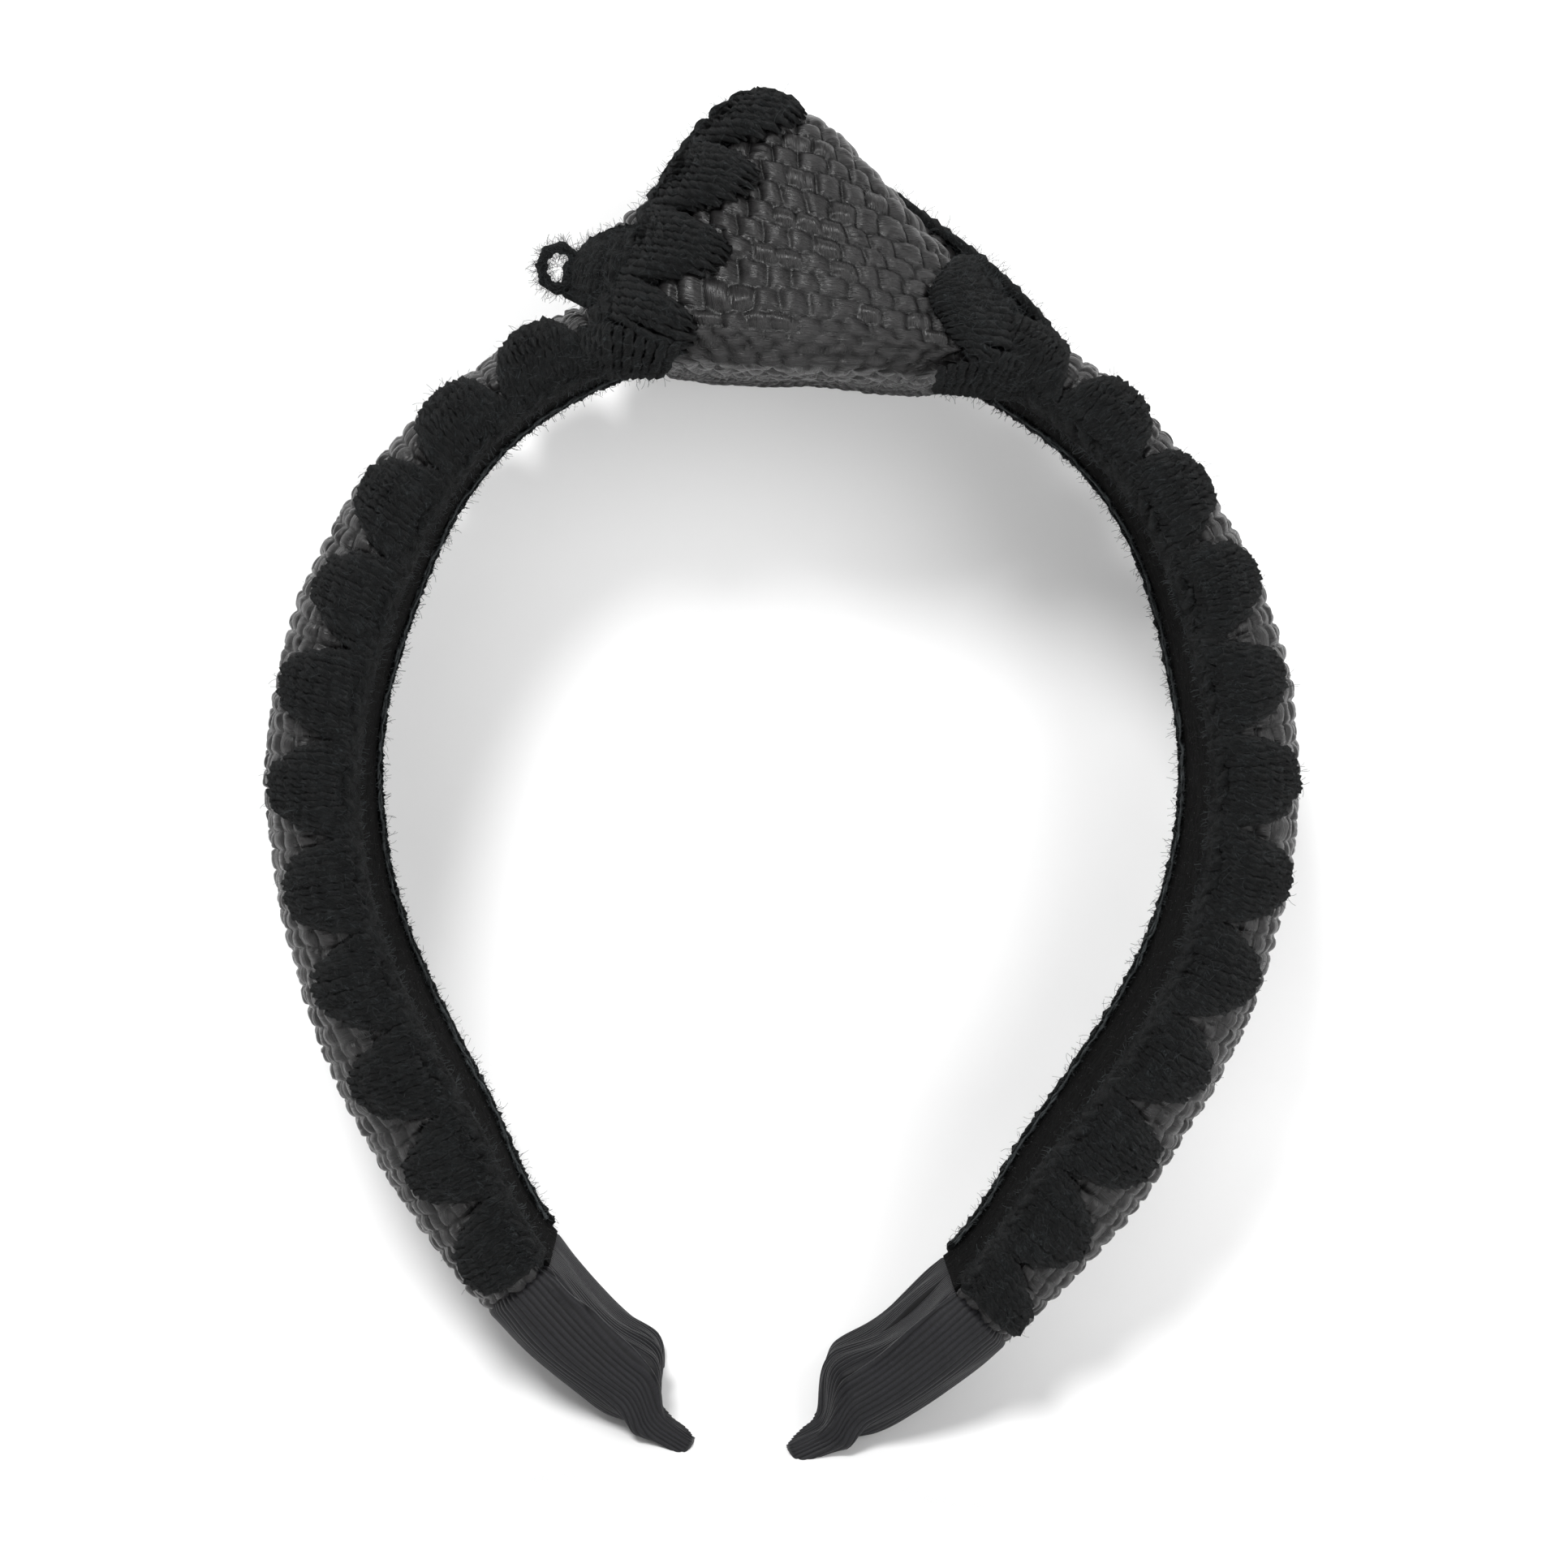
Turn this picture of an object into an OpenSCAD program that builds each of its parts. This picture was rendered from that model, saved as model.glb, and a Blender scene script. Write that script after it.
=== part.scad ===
// Knotted straw headband: a sprung hoop, padded and covered in woven straw,
// edged with wool shell stitches and tied in a knot over the crown.
// Millimetres. The origin is the point under the knot that rests on the head,
// +Z is up as worn, X runs from ear to ear and the front faces -Y.

/* [Hoop and band] */
// Radius of the band's outer crest over the head
crest_r = 76.7; // [70:0.1:84]
// Angle from the top at which the arms leave the crown circle
crown_angle = 100; // [90:1:108]
// Radius of the crest along the lower arms
arm_r = 124; // [112:1:140]
// Angle of the crest circle at the tips
tip_angle = 153.5; // [148:0.5:156]
// Thickness of the band beside the knot
band_t_top = 10.2; // [9:0.1:12]
// Thickness of the band at the ears
band_t_side = 14.1; // [12:0.1:16]
// Thickness of the band behind the ears, where it is thickest
band_t_low = 16.4; // [14:0.1:18]
// Thickness of the band where the ribbon starts
band_t_cuff = 13.0; // [11:0.1:14]
// Depth of the band beside the knot, front to back
band_d_top = 29; // [24:1:34]
// Depth of the band at the ears
band_d_side = 36; // [30:1:40]
// Depth of the band where the ribbon starts
band_d_cuff = 27; // [22:1:30]

/* [Hoop strip] */
// Thickness of the plastic hoop
hoop_t = 1.6; // [1.2:0.1:2]
// Depth of the plastic hoop, front to back
hoop_d = 16; // [12:1:18]

/* [Ribbon ends] */
// Length of each ribbon sleeve along the band
sleeve_l = 38; // [30:1:44]
// Length of the flat tip past the padding
flat_tip_l = 9; // [6:1:12]
// Thickness of the flat tip
tip_t = 3.2; // [3:0.1:4]
// Step down from the padding's crest to the flat tip
tip_drop = 2; // [0:0.1:3]
// Depth of the flat tip, front to back
tip_d = 21; // [18:1:24]

/* [Wool edging] */
// Wool shells along each rim of one arm
shell_count = 10; // [8:1:12]
// Height of a shell from the rim over the straw
shell_h = 12.5; // [9:0.5:14]
// Thickness of the wool shells
shell_t = 1.3; // [1:0.1:1.8]

/* [Knot] */
// Height of the knot over the underside of the crown
knot_h = 41; // [34:1:44]
// Width of the knot at the band, ear to ear
knot_w = 71; // [62:1:72]
// Depth of the knot, front to back
knot_d = 45; // [42:1:48]

/* [Arm hinges] */
// Angle from the top at which each arm starts to bend away
hinge_angle = 34; // [33:1:36]
// Radius of the round end that each arm turns on
hinge_r = 1.1; // [1:0.1:1.4]

/* [Hidden] */

straw = [0.19, 0.18, 0.18];
wool = [0.10, 0.11, 0.11];
ribbon = [0.20, 0.20, 0.22];
felt = [0.06, 0.06, 0.06];
plastic = [0.12, 0.12, 0.13];
foam = [0.45, 0.45, 0.46];
thread = [0.26, 0.27, 0.27];

head_gap = 60.5;                            // crest circle's centre below the origin
deg = 180 / PI;
crown_s = crest_r * crown_angle / deg;      // crest length from the top to the arms
tip_s = crown_s + arm_r * (tip_angle - crown_angle) / deg;
sleeve_s = tip_s - sleeve_l;
pad_end_s = tip_s - flat_tip_l;
hinge_s = crest_r * hinge_angle / deg;
side_s = crest_r * 75 / deg;
ear_s = crest_r * 105 / deg;
low_s = ear_s + 40;
split = 1.5;                                // half of the gap in the padding at a hinge
cover_t = 1.2;
lining_t = 0.8;
hoop_lift = 1.4;                            // hoop's middle above the lining's inner face
rim_h = 4;                                  // height of the straight wall at each rim
gap = 0.25;                                 // clearance between neighbouring layers
edging_r = [1.0, 2.1];                      // half depth and half height of the wool edging
thread_r = 0.35;
ribbon_t = 0.5;

// Smooth step between two values
function ease(x) = x <= 0 ? 0 : x >= 1 ? 1 : x * x * (3 - 2 * x);
function blend(s, a, b) = ease((s - a) / (b - a));

// Crest angle, crest point and outward normal at length s from the top
function crest_angle(s) =
    s <= crown_s ? s / crest_r * deg : crown_angle + (s - crown_s) / arm_r * deg;
function out(s) = [sin(crest_angle(s)), cos(crest_angle(s))];
function crest(s) = s <= crown_s
    ? crest_r * out(s)
    : (crest_r - arm_r) * [sin(crown_angle), cos(crown_angle)] + arm_r * out(s);

// Thickness and half depth of the band at length s
function band_t(s) = band_t_top
    + (band_t_side - band_t_top) * blend(s, hinge_s + 6, side_s)
    + (band_t_low - band_t_side) * blend(s, ear_s, low_s)
    + (band_t_cuff - band_t_low) * blend(s, low_s + 4, sleeve_s)
    - 2 * blend(s, sleeve_s, pad_end_s - 4)
    - (band_t_cuff - 2 - tip_t) * blend(s, pad_end_s - 5, pad_end_s + 3);
function band_w(s) = (band_d_top
    + (band_d_side - band_d_top) * blend(s, hinge_s, side_s)
    + (band_d_cuff - band_d_side) * blend(s, ear_s + 8, sleeve_s)
    + (tip_d - band_d_cuff) * blend(s, sleeve_s + 4, pad_end_s + 3)) / 2;
// Height of the hoop's middle below the crest
function hoop_depth(s) = let (f = blend(s, sleeve_s - 8, pad_end_s))
    (band_t(s) - hoop_lift - hoop_t / 2) * (1 - f) + (band_t(s) / 2 + 0.1) * f;

// A point in space: s along the band, y across it, n outwards from the crest
function at(s, y, n) = let (p = crest(s) + (n - tip_drop * blend(s, pad_end_s - 5, pad_end_s + 3)) * out(s))
    [p[0], y, p[1] - head_gap];

// Closed rings in [y, n]: a D section, a C shaped skin and an ellipse
function dome(w, top, bottom, rim, m) = [for (i = [0:m]) let (a = 180 * i / m)
    [-w * cos(a), bottom + rim + (top - bottom - rim) * pow(sin(a), 0.8)]];
function flip(v) = [for (i = [len(v) - 1:-1:0]) v[i]];
function d_ring(w, top, bottom, rim, m) =
    concat([[-w, bottom]], dome(w, top, bottom, rim, m), [[w, bottom]]);
function c_ring(w, top, bottom, skin, m) = concat(
    [[-w, bottom]], dome(w, top, bottom, rim_h, m), [[w, bottom], [w - skin, bottom]],
    flip(dome(w - skin, top - skin, bottom, rim_h, m)), [[-w + skin, bottom]]);
function ellipse(c, r, m) = [for (i = [0:m - 1]) let (a = 360 * i / m)
    [c[0] - r[0] * cos(a), c[1] + r[1] * sin(a)]];

// One solid skinned over equal rings of points, closed by a strip of faces at each end
function strip(n) = [for (i = [0:floor(n / 2) - 1]) let (k = n - 1 - i)
    each i + 1 >= k ? [] : i + 1 == k - 1 ? [[i, i + 1, k]] : [[i, i + 1, k - 1], [i, k - 1, k]]];
module skin(rings) {
    n = len(rings[0]);
    last = (len(rings) - 1) * n;
    points = [for (ring = rings) for (p = ring) p];
    sides = [for (i = [0:n:last - n]) for (j = [0:n - 1]) let (k = (j + 1) % n)
        each [[i + j, i + k, i + n + k], [i + j, i + n + k, i + n + j]]];
    near = [for (f = strip(n)) flip(f)];
    far = [for (f = strip(n)) [for (v = f) last + v]];
    polyhedron(points, concat(sides, near, far), convexity = 8);
}

// Stations along the band between two lengths, and a layer swept over them
function stations(a, b, step) = let (n = ceil((b - a) / step)) [for (i = [0:n]) a + (b - a) * i / n];
function ring_at(s, ring) = [for (p = ring) at(s, p[0], p[1])];

// Arms are drawn on the right and mirrored to the left
module side(left) {
    if (left) mirror([1, 0, 0]) children();
    else children();
}

// A strip of the hoop between two lengths, as a plate with arched faces
module hoop_strip(a, b) {
    line = stations(a, b, 2);
    outer = [for (s = line) let (p = at(s, 0, -hoop_depth(s) + hoop_t / 2)) [p[0], p[2]]];
    inner = [for (s = line) let (p = at(s, 0, -hoop_depth(s) - hoop_t / 2)) [p[0], p[2]]];
    translate([0, hoop_d / 2, 0]) rotate([90, 0, 0]) linear_extrude(hoop_d)
        polygon(concat(outer, flip(inner)));
}

hinge_p = at(hinge_s, 0, -hoop_depth(hinge_s));

module hinge_bar(r, l) {
    translate([hinge_p[0], l / 2, hinge_p[2]]) rotate([90, 0, 0]) cylinder(h = l, r = r, $fn = 32);
}

// ---- crown ----
module hoop_crown() {
    color(plastic) difference() {
        hoop_strip(-hinge_s + 0.2, hinge_s - 0.2);
        for (m = [0, 1]) mirror([m, 0, 0]) hinge_bar(hinge_r + 0.3, hoop_d + 1);
    }
}

function crown_line() = stations(-hinge_s + split, hinge_s - split, 4.5);

module crown_pad() {
    color(foam) difference() {
        skin([for (s = crown_line()) let (t = band_t(abs(s)), w = band_w(abs(s)))
            ring_at(s, d_ring(w - cover_t - gap, -cover_t - gap, -t + lining_t + gap, rim_h - 1, 12))]);
        skin([for (s = stations(-hinge_s, hinge_s, 4)) let (n = -hoop_depth(abs(s)))
            ring_at(s, [[-hoop_d / 2 - gap, n - 3], [-hoop_d / 2 - gap, n + hoop_t / 2 + gap],
                [hoop_d / 2 + gap, n + hoop_t / 2 + gap], [hoop_d / 2 + gap, n - 3]])]);
    }
}

module crown_cover() {
    color(straw) skin([for (s = crown_line())
        ring_at(s, c_ring(band_w(abs(s)), 0, -band_t(abs(s)), cover_t, 14))]);
}

module crown_lining() {
    color(felt) skin([for (s = crown_line()) let (t = band_t(abs(s)), w = band_w(abs(s)) - cover_t - gap)
        ring_at(s, [[-w, -t], [-w, -t + lining_t], [w, -t + lining_t], [w, -t]])]);
}

// Outline of the knot: half width, half depth and middle at height z over the origin
knot_fold_z = 4;                            // height of the widest fold over the underside
knot_round = 0.85;                          // squareness of the knot's outline from above
function knot_f(z) = (z - knot_fold_z) / (knot_h - knot_fold_z);
function knot_a(z) = z < knot_fold_z
    ? knot_w / 2 * (0.55 + 0.45 * sqrt(max(0, z + 0.5) / (knot_fold_z + 0.5)))
    : knot_w / 2 * (1 - 0.74 * knot_f(z)) * sqrt(max(0, 1 - pow(knot_f(z), 9)));
function knot_b(z) = z < knot_fold_z
    ? knot_d / 2 * (0.86 + 0.14 * sqrt(max(0, z + 0.5) / (knot_fold_z + 0.5)))
    : knot_d / 2 * (1 - 0.62 * pow(max(0, knot_f(z)), 1.3)) * sqrt(max(0, 1 - pow(knot_f(z), 9)));
function knot_c(z) = -1 - 6.5 * max(0, knot_f(z));

module knot_body(inset, low, levels, m) {
    high = knot_h - inset;
    skin([for (i = [0:levels])
        let (z = low + (high - low) * sin(90 * i / levels), k = min(z, knot_h - 0.4),
             a = max(0.6, knot_a(k) - inset), b = max(0.6, knot_b(k) - inset))
        [for (j = [0:m - 1]) let (q = 360 * j / m)
            [knot_c(k) - a * sign(cos(q)) * pow(abs(cos(q)), knot_round),
             b * sign(sin(q)) * pow(abs(sin(q)), knot_round), z]]]);
}

// Room for the covered band through the knot
module band_room(grow) {
    skin([for (s = stations(-hinge_s - 6, hinge_s + 6, 5)) let (t = band_t(0), w = band_w(0) + grow)
        ring_at(s, d_ring(w, grow, -t - grow, rim_h, 10))]);
}

knot_skin = 2;
module knot_stuffing() {
    color(foam) difference() {
        knot_body(knot_skin + gap, 9, 9, 24);
        band_room(gap);
    }
}

module knot_wrap() {
    color(straw) difference() {
        knot_body(0, -0.4, 12, 32);
        knot_body(knot_skin, 1.2, 9, 24);
        band_room(gap);
    }
}

// A pad of cloth or wool: a low dome with an egg shaped outline, turned in place
module pad(size, lift) {
    rings = 5;
    m = 14;
    skin([for (i = [0:rings]) let (q = 90 * i / rings, r = max(0.06, cos(q)))
        [for (j = [0:m - 1]) let (a = -360 * j / m)
            [size[0] * r * cos(a), size[1] * r * sin(a), lift * sin(q)]]]);
}

module on_knot(x, z, turn, size, lift) {
    e = min(0.98, abs(x - knot_c(z)) / knot_a(z));
    y = -knot_b(z) * pow(1 - pow(e, 2 / knot_round), knot_round / 2);
    translate([x, y + 0.6, z]) rotate([90 - 26, turn, 12 * (x - knot_c(z)) / knot_a(z)]) pad(size, lift);
}

module knot_trim(flip_y) {
    difference() {
        if (flip_y) mirror([0, 1, 0]) children();
        else children();
        knot_body(-gap, -0.4, 12, 32);
        band_room(gap);
    }
}

module knot_left_shells() {
    color(wool) knot_trim(false) {
        on_knot(-13.5, 36, 30, [5.4, 4.2], 3.6);
        on_knot(-19.5, 28.4, 25, [5.2, 4.2], 3.6);
        on_knot(-23.5, 20.2, 20, [5.4, 4.2], 3.6);
    }
}

module knot_right_shells() {
    color(wool) knot_trim(false) {
        on_knot(20.5, 15, -25, [6.6, 4.6], 4);
        on_knot(27, 5.6, -30, [5.8, 4.6], 3.6);
    }
}

module knot_underside_shells() {
    color(wool) for (m = [false, true]) knot_trim(m) {
        translate([-25, -14, -1]) rotate([180, 0, 6]) pad([8.6, 5.6], 2.6);
        translate([22, -14, -1]) rotate([180, 0, -4]) pad([7.6, 5.2], 1.7);
    }
}

module knot_left_fold() {
    color(straw) knot_trim(false) {
        translate([-24, 9, 17]) rotate([0, -48, 0]) pad([10.5, 10], 7.5);
    }
}

module knot_right_fold() {
    color(straw) knot_trim(false) {
        translate([20, 5, 21]) rotate([0, 46, 0]) pad([9.5, 9], 6.2);
    }
}

module knot_yarn_loop() {
    color(wool) translate([-35.2, -8, 14.4]) rotate([90, 0, 14]) rotate_extrude($fn = 24)
        translate([2.3, 0]) circle(r = 1, $fn = 16);
}

// ---- arms ----
arm_start = hinge_s + split;
function arm_line(b, step) = stations(arm_start, b, step);

module arm_hoop(left) {
    color(plastic) side(left) union() {
        hoop_strip(hinge_s + 0.1, tip_s - 1.2);
        hinge_bar(hinge_r, hoop_d);
    }
}

module arm_foam(left) {
    color(foam) side(left) difference() {
        skin([for (s = arm_line(pad_end_s - 5, 7)) let (t = band_t(s), w = band_w(s), low = -t + lining_t + gap)
            ring_at(s, d_ring(w - cover_t - gap, -cover_t - gap, low, rim_h - 1, 10))]);
        skin([for (s = stations(hinge_s - 3, tip_s, 5)) let (n = -hoop_depth(s), h = hoop_t / 2 + gap)
            ring_at(s, [[-hoop_d / 2 - gap, n - h], [-hoop_d / 2 - gap, n + h],
                [hoop_d / 2 + gap, n + h], [hoop_d / 2 + gap, n - h]])]);
    }
}

module arm_cover(left) {
    color(straw) side(left) skin([for (s = arm_line(sleeve_s, 5.6))
        ring_at(s, c_ring(band_w(s), 0, -band_t(s), cover_t, 14))]);
}

module arm_lining(left) {
    color(felt) side(left) skin([for (s = arm_line(sleeve_s, 5)) let (t = band_t(s), w = band_w(s) - cover_t - gap)
        ring_at(s, [[-w, -t], [-w, -t + lining_t], [w, -t + lining_t], [w, -t]])]);
}

module arm_edging(left, face) {
    color(wool) side(left) skin([for (s = arm_line(sleeve_s - 0.5, 6))
        let (c = [face * (band_w(s) + edging_r[0] + gap), -band_t(s) + 1.4])
        ring_at(s, ellipse(c, edging_r, 8))]);
}

module arm_thread(left, face) {
    color(thread) side(left) skin([for (s = arm_line(sleeve_s - 2, 6))
        ring_at(s, ellipse([face * (band_w(s) - 1), -band_t(s) - thread_r - 0.2], [thread_r, thread_r], 6))]);
}

// A wool shell over the cover: q runs from the rim towards the crest, p along the band
function over(s, q, lift, face) = let (
    w = band_w(s) + lift, t = band_t(s), h = t - rim_h,
    a = min(90, q / (w * 1.15) * 90 + 4))
    at(s, face * w * cos(a), -h + (h + lift) * pow(sin(a), 0.8));
function shell_half(f) = shell_pitch / 2 * (f < 0.35 ? 0.96 : 0.96 * sqrt(max(0.02, 1 - pow((f - 0.35) / 0.65, 2.4))));
shell_pitch = (sleeve_s - arm_start - 1) / shell_count;

module shell(s, face) {
    rows = [0, 0.3, 0.6, 0.85, 1];
    cols = [-1, -0.6, 0, 0.6, 1];
    function point(f, c, lift) = over(s + c * shell_half(f), 1 + f * (shell_h - 1), lift, face);
    low = gap + 0.1;
    rings = [for (f = rows) concat(
        [for (c = cols) point(f, c, low + (shell_t - 0.2) * (1 - 0.55 * c * c) * (f < 0.9 ? 1 : 0.6))],
        [for (c = flip(cols)) point(f, c, low)])];
    skin(face > 0 ? rings : flip(rings));
}

module arm_shells(left, face) {
    color(wool) side(left) for (i = [0:shell_count - 1])
        shell(arm_start + 0.5 + (i + 0.5) * shell_pitch, face);
}

module ribbon_tube(grow, a, b, m) {
    skin([for (s = stations(a, b, 2.5)) let (t = band_t(s), r = min(rim_h, t * 0.75))
        ring_at(s, d_ring(band_w(s) - grow, -grow, -t + grow, r, m))]);
}

module arm_ribbon_sleeve(left) {
    color(ribbon) side(left) difference() {
        ribbon_tube(0, sleeve_s + 0.3, tip_s, 12);
        ribbon_tube(ribbon_t, sleeve_s - 5, tip_s - 0.9, 12);
    }
}

module arm_ribbon_seam(left) {
    color(ribbon) side(left) skin([for (s = stations(sleeve_s + 1, pad_end_s - 5, 4)) let (n = -band_t(s) - 0.15)
        ring_at(s, [[-6.5, n - 0.7], [-6.5, n], [-4.5, n], [-4.5, n - 0.7]])]);
}

hoop_crown();
crown_pad();
crown_cover();
crown_lining();
knot_stuffing();
knot_wrap();
knot_left_fold();
knot_right_fold();
knot_left_shells();
knot_right_shells();
knot_underside_shells();
knot_yarn_loop();
arm_hoop(true);  // left_hoop
arm_foam(true);  // left_foam
arm_cover(true);  // left_cover
arm_lining(true);  // left_lining
arm_edging(true, -1);  // left_front_edging
arm_edging(true, 1);  // left_back_edging
arm_shells(true, -1);  // left_front_shells
arm_shells(true, 1);  // left_back_shells
arm_thread(true, -1);  // left_front_thread
arm_thread(true, 1);  // left_back_thread
arm_ribbon_sleeve(true);  // left_ribbon_sleeve
arm_ribbon_seam(true);  // left_ribbon_seam
arm_hoop(false);  // right_hoop
arm_foam(false);  // right_foam
arm_cover(false);  // right_cover
arm_lining(false);  // right_lining
arm_edging(false, -1);  // right_front_edging
arm_edging(false, 1);  // right_back_edging
arm_shells(false, -1);  // right_front_shells
arm_shells(false, 1);  // right_back_shells
arm_thread(false, -1);  // right_front_thread
arm_thread(false, 1);  // right_back_thread
arm_ribbon_sleeve(false);  // right_ribbon_sleeve
arm_ribbon_seam(false);  // right_ribbon_seam
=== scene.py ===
"""Knotted straw headband: the soft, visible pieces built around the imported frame.

The band's path and section follow the same few sizes as the CAD design. Straw is
a woven surface in real relief, wool is drawn as yarns that lie on the straw, and
fuzz, ropes and stitches are grown by Geometry Nodes.
"""
import math

import bmesh
import bpy
import numpy as np
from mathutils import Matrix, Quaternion, Vector


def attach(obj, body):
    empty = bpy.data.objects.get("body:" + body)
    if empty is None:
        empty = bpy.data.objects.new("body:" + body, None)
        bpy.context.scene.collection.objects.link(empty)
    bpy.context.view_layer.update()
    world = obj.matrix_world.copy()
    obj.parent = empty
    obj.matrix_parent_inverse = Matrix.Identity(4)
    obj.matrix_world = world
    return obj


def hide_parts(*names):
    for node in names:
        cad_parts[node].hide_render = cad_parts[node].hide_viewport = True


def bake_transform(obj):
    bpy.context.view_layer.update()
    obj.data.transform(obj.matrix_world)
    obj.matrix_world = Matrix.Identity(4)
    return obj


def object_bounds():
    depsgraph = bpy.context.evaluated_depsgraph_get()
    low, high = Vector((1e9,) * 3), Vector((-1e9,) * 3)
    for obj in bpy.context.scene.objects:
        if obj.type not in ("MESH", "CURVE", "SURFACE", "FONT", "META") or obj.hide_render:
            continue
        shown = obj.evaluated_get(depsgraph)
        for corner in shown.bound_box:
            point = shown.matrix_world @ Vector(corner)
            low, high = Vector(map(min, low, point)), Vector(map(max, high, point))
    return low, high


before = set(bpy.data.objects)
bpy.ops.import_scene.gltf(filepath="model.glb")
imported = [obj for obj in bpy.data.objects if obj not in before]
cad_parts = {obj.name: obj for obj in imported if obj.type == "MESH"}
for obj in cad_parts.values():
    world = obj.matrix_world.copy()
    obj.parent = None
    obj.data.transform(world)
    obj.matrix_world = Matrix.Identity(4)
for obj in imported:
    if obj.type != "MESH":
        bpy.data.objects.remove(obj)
CAD_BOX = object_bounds()

bl_info = {
    "name": "Knotted Straw Headband",
    "version": (1, 0, 0),
    "blender": (4, 5, 0),
    "location": "View3D > Sidebar > Headband",
    "description": "Woven straw headband with wool shell edging, a top knot and ribbon ends",
    "category": "Add Mesh",
}

MM = 0.001
LEFT, RIGHT = -1, 1
FRONT, BACK = -1, 1
SIDE_NAME = {LEFT: "left", RIGHT: "right"}
FACE_NAME = {FRONT: "front", BACK: "back"}
FIRST_SHELL = {LEFT: 37.0, RIGHT: 41.5}  # length from the top at which the first shell starts
COVER_START = 24.0    # the covers and linings start under the knot
EDGING_START = 29.0
THREAD_START = 34.0
BEND_BEFORE, BEND_AFTER = 8, 12          # distances each side of the hinge to the ends that joint_ends gives
STRAW_WIDTH = 2.7                        # width of one straw across the band
SEAM_PLACE = 0.165                       # the ribbon's seam, as a share of the way round from inside
SEAM_DEPTH = {LEFT: 1.3, RIGHT: 0.5}
SHELL_HAIRS, ROPE_HAIRS, KNOT_HAIRS = 2800, 500, 800
NAP_HAIRS, FRAY_HAIRS = 2400, 700
OUTLINE_SAMPLES = 161
YARN_SIDES = 6
PLY_DEPTH = 0.22
PLY_PITCH = 7.2
STITCH_POINTS = 13
# about ten times lighter than the wool: painted light on the single loose hairs
WOOL_HAIR_PAINTED_LIT = (0.042, 0.047, 0.049)


# ---------------------------------------------------------------- settings
def length_prop(name, default_mm, text):
    """A length property, stored in metres."""
    return bpy.props.FloatProperty(
        name=name, description=text, default=default_mm * MM, min=0.0,
        subtype="DISTANCE", unit="LENGTH", precision=5)


def colour_prop(name, default, text):
    """A linear colour property."""
    return bpy.props.FloatVectorProperty(
        name=name, description=text, default=default, size=3, min=0.0, max=1.0, subtype="COLOR")


class BandSizes(bpy.types.PropertyGroup):
    """Sizes of the hoop's path and of the padded band on it."""
    crest_radius: length_prop("Crest radius", 76.7, "Radius of the band's outer crest over the head")
    arm_radius: length_prop("Arm radius", 124.0, "Radius of the crest along the lower arms")
    head_gap: length_prop("Head gap", 60.5, "Depth of the crest circle's centre below the origin")
    crown_angle: bpy.props.FloatProperty(
        name="Crown angle", description="Angle from the top at which the arms leave the crest circle",
        default=math.radians(100), subtype="ANGLE")
    tip_angle: bpy.props.FloatProperty(
        name="Tip angle", description="Angle of the crest at the tips",
        default=math.radians(153.5), subtype="ANGLE")
    hinge_angle: bpy.props.FloatProperty(
        name="Hinge angle", description="Angle from the top at which each arm starts to bend away",
        default=math.radians(34), subtype="ANGLE")
    thick_top: length_prop("Thickness at the top", 10.2, "Thickness of the band beside the knot")
    thick_side: length_prop("Thickness at the ears", 14.1, "Thickness of the band at the ears")
    thick_low: length_prop("Thickness below", 16.4, "Thickness of the band behind the ears")
    thick_cuff: length_prop("Thickness at the ribbon", 13.0, "Thickness where the ribbon starts")
    depth_top: length_prop("Depth at the top", 29.0, "Depth of the band beside the knot")
    depth_side: length_prop("Depth at the ears", 36.0, "Depth of the band at the ears")
    depth_cuff: length_prop("Depth at the ribbon", 27.0, "Depth where the ribbon starts")
    rim: length_prop("Rim wall", 4.0, "Height of the straight wall at each rim")


class TipSizes(bpy.types.PropertyGroup):
    """Sizes of the ribbon ends."""
    sleeve: length_prop("Sleeve length", 38.0, "Length of each ribbon sleeve along the band")
    flat: length_prop("Flat tip length", 9.0, "Length of the flat tip past the padding")
    thick: length_prop("Flat tip thickness", 3.2, "Thickness of the flat tip")
    depth: length_prop("Flat tip depth", 21.0, "Depth of the flat tip, front to back")
    drop: length_prop("Tip step", 2.0, "Step down from the padding's crest to the flat tip")
    rib: length_prop("Rib pitch", 0.95, "Distance between the ribbon's ribs")
    rib_height: length_prop("Rib height", 0.3, "Height of the ribbon's ribs")


class WeaveSizes(bpy.types.PropertyGroup):
    """Sizes of the plain woven straw."""
    cell_along: length_prop("Cell along", 3.0, "Length of a woven cell along the band")
    cells_across: bpy.props.IntProperty(
        name="Cells across", description="Woven cells across the band, rim to rim", default=19, min=4)
    knot_cell: length_prop("Knot cell", 3.7, "Width of a woven cell on the knot")
    relief: length_prop("Relief", 1.05, "Height of a float over the gaps of the weave")
    step: length_prop("Mesh step", 0.36, "Spacing of the mesh that carries the weave")


class WoolSizes(bpy.types.PropertyGroup):
    """Sizes of the wool edging."""
    shell_pitch: length_prop("Shell pitch", 16.0, "Distance between neighbouring shells along a rim")
    shell_height: length_prop("Shell height", 13.0, "Height of a shell over the straw, from the rim")
    valley_height: length_prop("Valley height", 3.6, "Height of the stitches between two shells")
    yarn: length_prop("Yarn radius", 0.72, "Radius of one wool yarn")
    pitch: length_prop("Stitch pitch", 1.12, "Distance between neighbouring stitches")
    fuzz: length_prop("Fuzz length", 1.7, "Length of a loose wool hair")


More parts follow.
